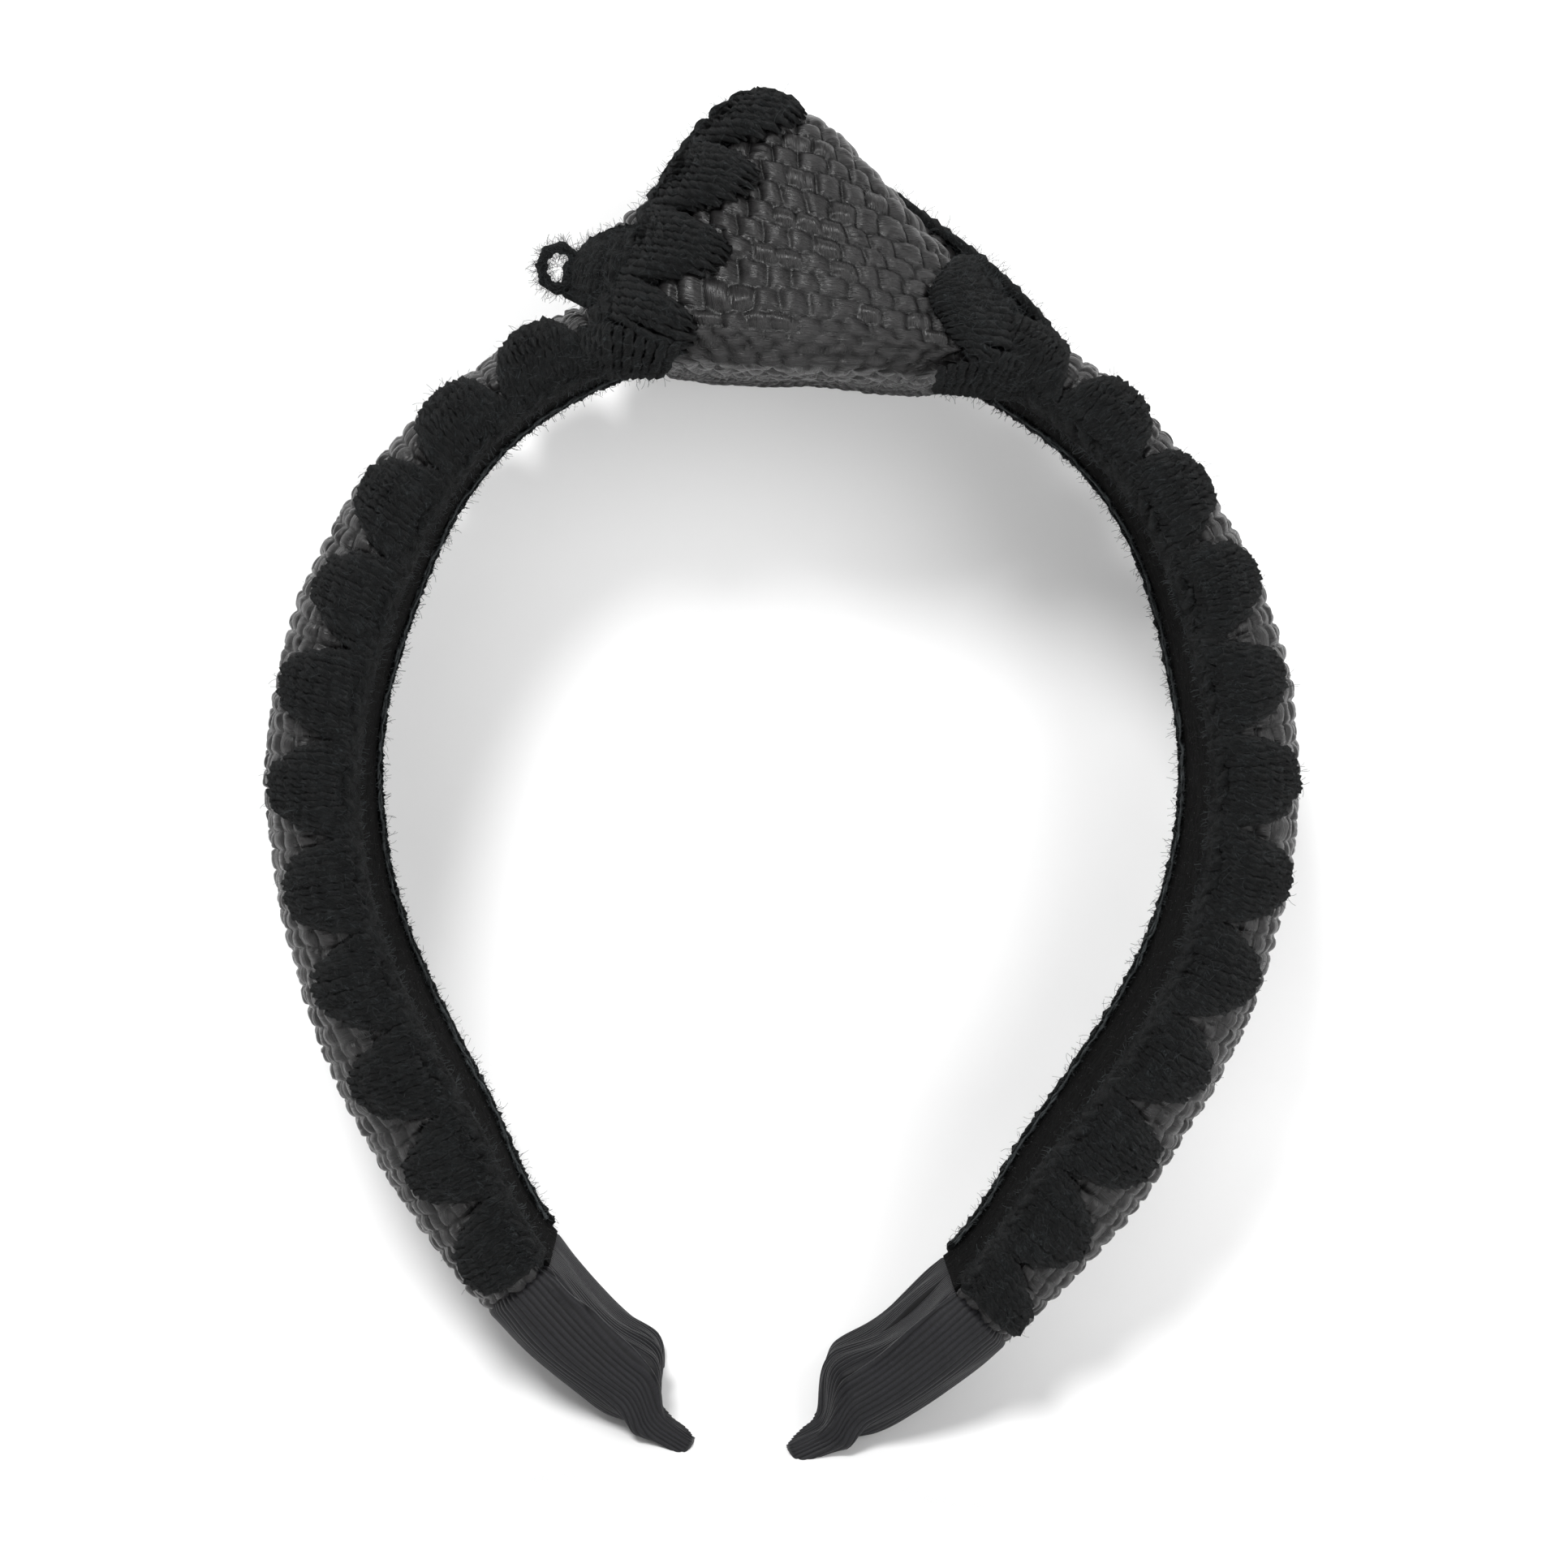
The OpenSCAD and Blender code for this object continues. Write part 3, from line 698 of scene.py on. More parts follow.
def spread(tree, value, low, high):
    """Maps a 0 to 1 value onto low to high."""
    made = node(tree, "ShaderNodeMapRange")
    made.inputs["From Min"].default_value = 0.3
    made.inputs["From Max"].default_value = 0.7
    made.inputs["To Min"].default_value = low
    made.inputs["To Max"].default_value = high
    link(tree, value, made.inputs["Value"])
    return made.outputs["Result"]


def total(tree, a, b, share):
    """a and share times b, added."""
    made = node(tree, "ShaderNodeMath", operation="MULTIPLY_ADD")
    made.inputs[1].default_value = share
    link(tree, b, made.inputs[0])
    link(tree, a, made.inputs[2])
    return made.outputs[0]


def straw_finish():
    """Flat dyed straw: fibres run along each float, with a soft gloss and a tone of its own; the gaps between
    floats are darkened by the weave's height, which is painted shade.
    """
    finish = settings("finish")
    material, tree, shader = blank("woven_straw", 0.42, specular=0.32)
    if tree is None:
        return material
    grain = node(tree, "ShaderNodeUVMap", uv_map="grain").outputs["UV"]
    tone = node(tree, "ShaderNodeAttribute", attribute_name="tone").outputs["Fac"]
    fine = noise(tree, grain, 1.0, (7.5, 0.45, 1), 3.0)
    broad = noise(tree, grain, 1.0, (2.2, 0.25, 1), 2.0)
    mixed = total(tree, total(tree, fine, broad, 0.7), tone, 0.35)
    dark, light = tuple(finish.straw_dark), tuple(finish.straw_light)
    rise = node(tree, "ShaderNodeAttribute", attribute_name="rise").outputs["Fac"]
    # painted shade: the base colour is multiplied darker where the weave sits low, in the gaps between floats
    painted_relief_light_and_shade = node(tree, "ShaderNodeMix", data_type="RGBA", blend_type="MULTIPLY")
    painted_relief_light_and_shade.inputs["Factor"].default_value = 1.0
    link(tree, ramp(tree, mixed, [(0.55, dark), (0.95, light)]), painted_relief_light_and_shade.inputs["A"])
    link(tree, ramp(tree, rise, [(0.1, (0.03, 0.03, 0.03)), (0.62, (1, 1, 1))]), painted_relief_light_and_shade.inputs["B"])
    link(tree, painted_relief_light_and_shade.outputs["Result"], shader.inputs["Base Color"])
    link(tree, spread(tree, broad, 0.2, 0.46), shader.inputs["Roughness"])
    bump(tree, shader, total(tree, fine, broad, 0.8), 0.75, 0.16)
    return material


def wool_finish():
    """Matt wool yarn: fine fibres wind along each yarn, and a few are painted lighter as highlights where
    fibres catch the light.
    """
    finish = settings("finish")
    material, tree, shader = blank("plied_wool", 0.85, sheen=0.04, specular=0.1)
    if tree is None:
        return material
    along = node(tree, "ShaderNodeAttribute", attribute_name="along").outputs["Fac"]
    around = node(tree, "ShaderNodeAttribute", attribute_name="around").outputs["Fac"]
    place = node(tree, "ShaderNodeTexCoord").outputs["Object"]
    join = node(tree, "ShaderNodeCombineXYZ")
    link(tree, around, join.inputs[0])
    link(tree, along, join.inputs[1])
    shift = node(tree, "ShaderNodeVectorMath", operation="MULTIPLY_ADD")
    shift.inputs[1].default_value = (60, 60, 60)
    link(tree, place, shift.inputs[0])
    link(tree, join.outputs[0], shift.inputs[2])
    fibre = noise(tree, shift.outputs[0], 1.0, (16, 420, 1), 4.0)
    clump = noise(tree, place, 700.0, (1, 1, 1), 2.0)
    mixed = total(tree, fibre, clump, 0.35)
    dark, light = tuple(finish.wool), tuple(finish.wool_light)
    # painted highlight: the top of the noise turns single fibres light
    stops = [(0.6, tuple(c * 0.45 for c in dark)), (0.76, dark), (0.98, light)]
    link(tree, ramp(tree, mixed, stops), shader.inputs["Base Color"])
    bump(tree, shader, mixed, 0.9, 0.35)
    return material


def hair_finish(name, colour, roughness=0.7):
    """A single fine fibre, lighter or darker along the band."""
    material, tree, shader = blank(name, roughness, specular=0.15)
    if tree is None:
        return material
    place = node(tree, "ShaderNodeTexCoord").outputs["Object"]
    tone = noise(tree, place, 900.0, (1, 1, 1), 2.0)
    stops = [(0.35, tuple(c * 0.5 for c in colour)), (0.7, colour)]
    link(tree, ramp(tree, tone, stops), shader.inputs["Base Color"])
    return material


def ribbon_finish():
    """Ribbed ribbon: fine weft threads over the ribs, a soft gloss along them, painted shade in the grooves
    and painted light on the rib tops.
    """
    finish = settings("finish")
    material, tree, shader = blank("ribbed_ribbon", 0.5, sheen=0.03, specular=0.22)
    if tree is None:
        return material
    rib = node(tree, "ShaderNodeUVMap", uv_map="rib").outputs["UV"]
    place = node(tree, "ShaderNodeTexCoord").outputs["Object"]
    weft = noise(tree, rib, 1.0, (1.2, 9.0, 1), 2.0)
    wear = noise(tree, place, 160.0, (1, 1, 1), 3.0)
    mixed = total(tree, weft, wear, 0.6)
    tone = tuple(finish.ribbon)
    rise = node(tree, "ShaderNodeAttribute", attribute_name="rise").outputs["Fac"]
    stops = [(0.55, tuple(c * 0.6 for c in tone)), (1.0, tuple(min(1, c * 1.5) for c in tone))]
    # painted shade and light: the base colour is darker in the grooves between ribs and lighter on their tops
    painted_relief_light_and_shade = node(tree, "ShaderNodeMix", data_type="RGBA", blend_type="MULTIPLY")
    painted_relief_light_and_shade.inputs["Factor"].default_value = 1.0
    link(tree, ramp(tree, mixed, stops), painted_relief_light_and_shade.inputs["A"])
    link(tree, ramp(tree, rise, [(0.15, (0.1, 0.1, 0.1)), (0.85, (1.25, 1.25, 1.25))]), painted_relief_light_and_shade.inputs["B"])
    link(tree, painted_relief_light_and_shade.outputs["Result"], shader.inputs["Base Color"])
    link(tree, spread(tree, wear, 0.45, 0.62), shader.inputs["Roughness"])
    bump(tree, shader, weft, 0.5, 0.08)
    return material


def felt_finish():
    """Black brushed felt with a few tiny painted glints."""
    finish = settings("finish")
    material, tree, shader = blank("brushed_felt", 0.95, sheen=0.0, specular=0.04)
    if tree is None:
        return material
    place = node(tree, "ShaderNodeTexCoord").outputs["Object"]
    nap = noise(tree, place, 1500.0, (1, 1, 1), 4.0)
    # painted glints: tiny bright dots mixed into the base colour
    glint_cells = node(tree, "ShaderNodeTexVoronoi")
    glint_cells.inputs["Scale"].default_value = 900.0
    link(tree, place, glint_cells.inputs["Vector"])
    tone = tuple(finish.felt)
    base = ramp(tree, nap, [(0.35, tuple(c * 0.5 for c in tone)), (0.7, tuple(c * 2.2 for c in tone))])
    glint = ramp(tree, glint_cells.outputs["Distance"], [(0.05, (1, 1, 1)), (0.1, (0, 0, 0))])
    mix = node(tree, "ShaderNodeMix", data_type="RGBA")
    mix.inputs["B"].default_value = (0.12, 0.13, 0.13, 1)
    link(tree, glint, mix.inputs["Factor"])
    link(tree, base, mix.inputs["A"])
    link(tree, mix.outputs["Result"], shader.inputs["Base Color"])
    bump(tree, shader, nap, 0.9, 0.3)
    return material


def plain_finish(name, colour, roughness, grain_mm):
    """Moulded plastic or foam: one tone with a fine grain."""
    material, tree, shader = blank(name, roughness)
    if tree is None:
        return material
    place = node(tree, "ShaderNodeTexCoord").outputs["Object"]
    grain = noise(tree, place, 1.0 / (grain_mm * MM), (1, 1, 1), 3.0)
    stops = [(0.3, tuple(c * 0.8 for c in colour)), (0.7, tuple(min(1, c * 1.15) for c in colour))]
    link(tree, ramp(tree, grain, stops), shader.inputs["Base Color"])
    bump(tree, shader, grain, 0.4, grain_mm * 0.4)
    return material


# ---------------------------------------------------------------- wool edging
def shell_reach(s, start, pitch, low, high):
    """Length of the stitch at s, so that a row of stitches makes rounded shells."""
    f = np.mod((s - start) / pitch, 1.0)
    number = np.floor((s - start) / pitch)
    tall = high * (0.9 + 0.16 * hash01(number, 3, 1))
    return low + (tall - low) * (1 - np.abs(2 * f - 1) ** 2.3), f


def stitch_swell(reach, high, up):
    """How far a stitch bows off the straw between its two ends, more for a longer stitch."""
    return 1.5 * (reach[:, None] / high) * np.sin(math.pi * up ** 0.8) ** 0.7


def stitch_tuck(u):
    """Share of its lift that a stitch keeps as its tip goes down into the straw."""
    return np.where(u > 0.85, 1 - ((u - 0.85) / 0.15) ** 2 * 0.75, 1)


def stitch_radii(yarn, u, use, seed, count):
    """Radii along each stitch: thinner at its tip, and a little different from stitch to stitch."""
    return yarn * (1 - 0.45 * u ** 7) * (0.85 + 0.35 * hash01(np.arange(count), use, seed))[:, None]


def arm_stitches(band, side, face, start_s, end_s, first, seed):
    """Lines of the stitches that make one rim's shells, with their radii; a shell starts at length first."""
    w = settings("wool_sizes")
    low, high, yarn, gap = mm(w.valley_height), mm(w.shell_height), mm(w.yarn), mm(w.pitch)
    pitch = mm(w.shell_pitch)
    lines, radii = [], []
    for layer in range(2):
        count = int((end_s - start_s) / gap)
        s0 = start_s + (np.arange(count) + 0.5 * layer + 0.25) * gap
        s0 = s0 + 0.18 * soft_noise(s0 * 1.7, s0 * 0 + layer, seed)
        reach, f = shell_reach(s0, first, pitch, low, high)
        reach = reach * (1 - 0.1 * layer) + 0.9 * (hash01(np.arange(count), layer, seed) - 0.5)
        u = np.linspace(0, 1, STITCH_POINTS)[None, :]
        under = 2.4
        q = -under + (reach[:, None] + under) * u
        up = np.clip(q / reach[:, None], 0, 1)
        lift = yarn * 0.7 + stitch_swell(reach, high, up) + layer * 0.55 * np.sin(math.pi * up) ** 0.5
        lift = lift * stitch_tuck(u)
        centre = (0.5 - f)[:, None] * pitch
        sway = centre * 0.12 * up ** 2 + 0.5 * up * soft_noise(s0[:, None] * 0.8, q * 0.12, seed + 2)
        s = (s0[:, None] + sway) * side
        line, _ = band.from_rim(s, q, face, lift)
        lines.append(line)
        radii.append(stitch_radii(yarn, u, 5 + layer, seed, count))
    return np.concatenate(lines), np.concatenate(radii)


def rim_rope(band, side, face, start_s, end_s, seed):
    """Two plies wound round each other along a rim."""
    s = np.arange(start_s, end_s, 0.7)
    turn = s / PLY_PITCH * 2 * math.pi
    lines = []
    for k in range(2):
        a = turn + k * math.pi + 0.4 * soft_noise(s / 6, s * 0 + k, seed)
        q = 0.5 + 0.8 * np.cos(a)
        lift = 0.4 + 0.6 * np.sin(a)
        line, _ = band.from_rim(s * side, q, face, lift)
        lines.append(line)
    lines = np.stack(lines)
    return lines, np.full(lines.shape[:2], 0.95)


def stitch_thread(band, side, face, start_s, end_s, seed):
    """The fine frayed thread that runs along the inside of a rim."""
    s = np.arange(start_s, end_s, 0.45)
    lines = []
    for k in range(2):
        q = -2.7 + 0.35 * soft_noise(s / 2.3, s * 0 + k, seed) + 0.2 * np.sin(s / 3.1 * 2 * math.pi + 2 * k)
        lift = 0.75 + 0.25 * soft_noise(s / 1.9, s * 0 + k, seed + 4)
        line, _ = band.from_rim(s * side, q, face, lift)
        lines.append(line)
    lines = np.stack(lines)
    return lines, np.full(lines.shape[:2], 0.2)


# ---------------------------------------------------------------- lining and ribbon
def felt_lining(band, side, start_s, end_s, seed):
    """The brushed lining inside the band, a thin closed strip."""
    rows, cols = int((end_s - start_s) / 0.8), 34
    s = np.linspace(start_s, end_s, rows)
    v = np.linspace(-1, 1, cols)
    ss, vv = np.meshgrid(s, v, indexing="ij")
    half = band.half_depth(ss) - 1.6
    nap = 0.12 * soft_noise(ss * 1.3, vv * 11, seed) + 0.06 * soft_noise(ss * 3.1, vv * 29, seed + 1)
    top = band.point(ss * side, vv * half, -band.thick(ss) - 0.25 + nap)
    low = band.point(ss * side, vv * half, -band.thick(ss) + 0.5)
    ring = np.concatenate([top, low[:, ::-1]], 1)
    faces = tube_faces(rows, ring.shape[1])
    obj = mesh_object(f"{SIDE_NAME[side]}_felt_lining", ring.reshape(-1, 3), faces)
    return outward(obj)


def ribbon_ring(w, t, tuck, count):
    """A rounded D section as [y, n], even steps round it from the middle of its flat inner side."""
    w, rim, r = w - tuck, min(4.0, t * 0.7), min(1.8, t * 0.42)
    corner, a = np.linspace(0, math.pi / 2, 9), np.linspace(0, math.pi, 100)
    dome = np.stack([-w * np.cos(a), -t + rim + (t - rim - tuck) * np.sin(a) ** 0.8], -1)
    bend = np.stack([-w + r - r * np.sin(corner), -t + tuck + r - r * np.cos(corner)], -1)
    start = np.array([[0.0, -t + tuck]])
    line = np.concatenate([start, bend, dome[1:-1], bend[::-1] * np.array([-1, 1]), start])
    run = run_of(line)
    even = np.arange(count) / count * run[-1]
    return np.stack([np.interp(even, run, line[:, 0]), np.interp(even, run, line[:, 1])], -1)


def ribbon_sleeve(band, side, seed):
    """A ribbed ribbon sleeve: full over the padding, pinched to a flat tip, with creases and a seam."""
    t = settings("tip_sizes")
    start, end = band.sleeve_s - 2.2, band.tip_s
    rows, cols = 96, 420
    u = np.linspace(0, 1, rows)
    s = start + (end - start) * u
    ang = np.linspace(0, 2 * math.pi, cols, endpoint=False)
    ss, aa = np.meshgrid(s, ang, indexing="ij")
    w, thick = band.half_depth(ss), band.thick(ss)
    tuck = 1.0 * (1 - blend(s, band.sleeve_s - 0.4, band.sleeve_s + 1.6))
    pinch = blend(ss, band.pad_end - 6, band.pad_end + 3)
    ring = np.stack([ribbon_ring(a, b, k, cols) for a, b, k in zip(w[:, 0], thick[:, 0], tuck)])
    y, n = ring[..., 0], ring[..., 1]
    mid = run_of(ring[rows // 3])
    ribs = int(mid[-1] / mm(t.rib))
    phase = mid / mid[-1] * ribs
    rib = np.abs(np.sin(math.pi * phase))[None, :] ** 0.6
    full = blend(ss, band.sleeve_s, band.sleeve_s + 6) * (1 - blend(ss, band.pad_end - 1, band.pad_end + 4))
    inner = np.clip(1 - (n + thick) / 3.0, 0, 1) * np.clip(1 - (np.abs(y) / w) ** 4, 0, 1)
    bulge = 1.6 * inner * np.exp(-((ss - band.pad_end + 5) / 5.5) ** 2)
    wave = 0.55 * soft_noise(aa * 2.6 + 0.04 * ss, ss / 13, seed) * full
    near_pinch = np.exp(-((ss - band.pad_end + 1) / 6.0) ** 2)
    crease = 0.75 * soft_noise(aa * 4.2 + 0.05 * ss, ss / 8, seed + 1) * near_pinch
    seam_at = 2 * math.pi * SEAM_PLACE
    off = aa - seam_at - 0.07 * soft_noise(ss / 7, ss * 0, seed + 2)
    deep = SEAM_DEPTH[side]
    seam = -deep * np.exp(-(off / 0.05) ** 2) + 0.6 * deep * np.exp(-((off - 0.12) / 0.07) ** 2)
    seam = seam * blend(ss, band.sleeve_s + 1, band.sleeve_s + 5) * (1 - 0.6 * pinch)
    lift = mm(t.rib_height) * (rib - 0.5) + bulge + wave + crease + seam
    base = band.point(ss * side, y, n)
    along, across = np.gradient(base, axis=0), np.gradient(base, axis=1)
    normal = unit(np.cross(across, along)) * side
    centre = band.point(ss * side, y * 0, -thick / 2)
    wrong = np.sum(normal * (base - centre), -1).mean() < 0
    points = base + (-normal if wrong else normal) * lift[..., None]
    round_end = np.sqrt(np.clip(1 - np.clip((ss - end + 1.4) / 1.4, 0, 1) ** 2, 0.02, 1))
    mean = points.mean(1, keepdims=True)
    points = mean + (points - mean) * (0.35 + 0.65 * round_end[..., None])
    inside = mean + (points - mean) * (1 - 0.45 / np.linalg.norm(points - mean, axis=-1, keepdims=True))
    inside = inside[:-3:3, :]
    wall = np.concatenate([points[::-1], inside])
    obj = mesh_object(f"{SIDE_NAME[side]}_ribbon", wall.reshape(-1, 3), tube_faces(len(wall), cols))
    uv = np.zeros((len(obj.data.loops), 2), np.float32)
    quads = grid_quads(len(wall), cols, closed_cols=True)
    length = np.concatenate([ss[::-1], ss[:-3:3]])
    flat = np.stack([np.broadcast_to(mid[None, :], length.shape), length], -1).reshape(-1, 2)
    uv[: len(quads) * 4] = flat[quads].reshape(-1, 2)
    obj.data.uv_layers.new(name="rib").data.foreach_set("uv", uv.ravel())
    # the rib height, which the ribbon's material turns into painted shade in the grooves and painted light on
    # the tops
    tops = np.broadcast_to(rib, (len(wall), cols)).ravel()
    obj.data.attributes.new("rise", "FLOAT", "POINT").data.foreach_set("value", tops.astype(np.float32))
    return outward(obj)


# ---------------------------------------------------------------- the knot
KNOT_WIDTH, KNOT_DEPTH, KNOT_HEIGHT = 71.0, 45.0, 39.3
KNOT_FOLD = 4.0    # height of the widest fold
KNOT_LOW = -0.4    # height of the flat underside
KNOT_FOOT = -0.5   # height from which the side swells out to the fold
KNOT_ROUND = 0.85  # squareness of the outline from above


def knot_share(z):
    return np.maximum(0, (z - KNOT_FOLD) / (KNOT_HEIGHT - KNOT_FOLD))


def knot_under(z):
    """Swell of the side from 0 at the foot to 1 at the widest fold."""
    return np.sqrt(np.clip((z - KNOT_FOOT) / (KNOT_FOLD - KNOT_FOOT), 0, 1))


def knot_top(f):
    """Rounds the outline in to a point at the very top."""
    return np.sqrt(np.clip(1 - f ** 9, 0, 1))


def knot_half_width(z):
    under = 0.55 + 0.45 * knot_under(z)
    f = knot_share(z)
    return KNOT_WIDTH / 2 * np.where(z < KNOT_FOLD, under, (1 - 0.81 * f) * knot_top(f))


def knot_half_depth(z):
    under = 0.86 + 0.14 * knot_under(z)
    f = knot_share(z)
    return KNOT_DEPTH / 2 * np.where(z < KNOT_FOLD, under, (1 - 0.62 * f ** 1.3) * knot_top(f))


def knot_middle(z):
    return -1 - 6.5 * knot_share(z)


def knot_surface(x, z, lift):
    """The point of the knot's front over (x, z), lifted off it."""
    def height(x, z):
        e = np.clip(np.abs(x - knot_middle(z)) / np.maximum(knot_half_width(z), 0.5), 0, 0.985)
        return knot_half_depth(z) * (1 - e ** (2 / KNOT_ROUND)) ** (KNOT_ROUND / 2)
    zc = np.clip(z, -0.2, KNOT_HEIGHT - 0.8)
    h = height(x, zc)
    step = 0.5
    dx = (height(x + step, zc) - height(x - step, zc)) / (2 * step)
    dz = (height(x, np.minimum(zc + step, KNOT_HEIGHT - 0.5)) - height(x, zc - step)) / (2 * step)
    n = unit(np.stack([-np.clip(dx, -3, 3), np.ones_like(h), -np.clip(dz, -3, 3)], -1))
    p = np.stack([x, h, z], -1) + n * np.asarray(lift)[..., None]
    p[..., 1] *= -1
    return p


def knot_wrap(seed):
    """The woven panel wrapped over the crown: a closed, leaning pyramid with the weave in relief."""
    w = settings("weave_sizes")
    cell, relief = mm(w.knot_cell), mm(w.relief) * 1.15
    under, sides_rows, cols = 34, 118, 500
    shrink = np.concatenate([np.linspace(0.03, 1, under, endpoint=False), np.ones(sides_rows)])
    rise = np.sin(np.linspace(0, math.pi / 2, sides_rows))
    z = np.concatenate([np.full(under, KNOT_LOW), KNOT_LOW + (KNOT_HEIGHT + 0.3) * rise])
    zk = np.minimum(z, KNOT_HEIGHT - 0.15)
    a, b = knot_half_width(zk) * shrink, knot_half_depth(zk) * shrink
    ang = np.linspace(-math.pi / 2, 1.5 * math.pi, cols, endpoint=False)
    c, d = np.cos(ang)[None, :], np.sin(ang)[None, :]
    x = knot_middle(zk)[:, None] + a[:, None] * np.sign(c) * np.abs(c) ** KNOT_ROUND
    y = b[:, None] * np.sign(d) * np.abs(d) ** KNOT_ROUND
    base = np.stack([x, y, np.broadcast_to(z[:, None], x.shape)], -1)
    ring = np.linalg.norm(np.diff(base, axis=1, append=base[:, :1]), axis=-1)
    run = np.cumsum(ring, 1) - ring
    run = np.where(run > run[:, -1:] / 2, run - (run[:, -1:] + ring[:, -1:]), run)
    slope = run_of(base[:, 0])
    lean = 0.24 * x * blend(z, 3, 20)[:, None]
    rise = slope[:, None] + 5.0 * blend(z, -1, 7)[:, None] + lean
    cu, cv = run / cell + 50.0, rise / (cell * 0.88) + 50.0
    height, _, _, _ = weave(cu, cv, seed, 1.0)
    fade = blend(KNOT_HEIGHT - z, 0.1, 2.5)[:, None] * blend(shrink, 0.05, 0.2)[:, None]
    zz = z[:, None]
    folds = 0.8 * soft_noise(x / 16 + zz / 30, y / 16 + 3, seed + 31)
    folds = folds + 0.35 * soft_noise(x / 6, zz / 4, seed + 32)
    lift = (relief * (height - 0.7) + folds * 0.8) * fade
    along, across = np.gradient(base, axis=0), np.gradient(base, axis=1)
    normal = unit(np.cross(across, along))
    points = base + normal * lift[..., None]
    quads = grid_quads(len(z), cols, closed_cols=True)
    faces = [quads, np.arange(cols)[::-1][None, :], (np.arange(cols) + (len(z) - 1) * cols)[None, :]]
    obj = mesh_object("knot_straw_wrap", points.reshape(-1, 3), faces)
    store_weave(obj, cu.ravel(), cv.ravel(), quads, cell, cell * 0.88, seed, 1.0)
    return obj


def smooth_line(points, count):
    """A smooth line through given points."""
    points = np.array(points, float)
    t = np.linspace(0, len(points) - 1, count)
    i = np.clip(np.floor(t).astype(int), 0, len(points) - 2)
    f = (t - i)[:, None]
    p0, p1 = points[np.maximum(i - 1, 0)], points[i]
    p2, p3 = points[i + 1], points[np.minimum(i + 2, len(points) - 1)]
    return 0.5 * (2 * p1 + (p2 - p0) * f + (2 * p0 - 5 * p1 + 4 * p2 - p3) * f * f
                  + (3 * p1 - p0 - 3 * p2 + p3) * f ** 3)


def knot_stitches(rim, aim, shells, low, high, seed, base_lift=0.8):
    """Stitches along a rim drawn on the knot's front as (x, z) points, aimed from one angle to another."""
    w = settings("wool_sizes")
    yarn, gap = mm(w.yarn) * 1.05, mm(w.pitch)
    fine = smooth_line(rim, 400)
    run = run_of(fine)
    count = int(run[-1] / gap)
    lines, radii = [], []
    for layer in range(2):
        s = (np.arange(count) + 0.5 * layer + 0.25) * gap
        p = np.stack([np.interp(s, run, fine[:, k]) for k in range(2)], -1)
        ahead = np.stack([np.interp(s + 0.5, run, fine[:, k]) for k in range(2)], -1)
        back = np.stack([np.interp(s - 0.5, run, fine[:, k]) for k in range(2)], -1)
        tangent = unit(ahead - back)
        angle = np.radians(aim[0] + (aim[1] - aim[0]) * s / run[-1])
        across = np.stack([np.cos(angle), np.sin(angle)], -1)
        reach, f = shell_reach(s, 0, run[-1] / shells, low, high)
        reach = reach * (1 - 0.1 * layer)
        u = np.linspace(0, 1, STITCH_POINTS)[None, :]
        q = -1.8 + (reach[:, None] + 1.8) * u
        up = np.clip(q / reach[:, None], 0, 1)
        sway = (0.5 - f)[:, None] * run[-1] / shells * 0.1 * up ** 2
        place = p[:, None, :] + across[:, None, :] * q[..., None] + tangent[:, None, :] * sway[..., None]
        lift = base_lift + stitch_swell(reach, high, up)
        lift = lift + layer * 0.6 * np.sin(math.pi * up) ** 0.5 - 2.2 * np.clip(-q / 1.8, 0, 1) ** 2
        lift = lift * stitch_tuck(u)
        lines.append(knot_surface(place[..., 0], place[..., 1], lift))
        radii.append(stitch_radii(yarn, u, layer, seed, count))
    return np.concatenate(lines), np.concatenate(radii)


def knot_rope(rim, out=0.9, radius=0.95):
    """Two plies wound round each other along a rim drawn on the knot."""
    fine = smooth_line(rim, 160)
    run = run_of(fine)
    tangent = unit(np.gradient(fine, axis=0))
    across = np.stack([tangent[:, 1], -tangent[:, 0]], -1)
    lines = []
    for k in range(2):
        a = run / PLY_PITCH * 2 * math.pi + k * math.pi
        place = fine + across * (0.85 * np.cos(a))[:, None]
        lines.append(knot_surface(place[:, 0], place[:, 1], out + 0.75 * np.sin(a)))
    lines = np.stack(lines)
    return lines, np.full(lines.shape[:2], radius)


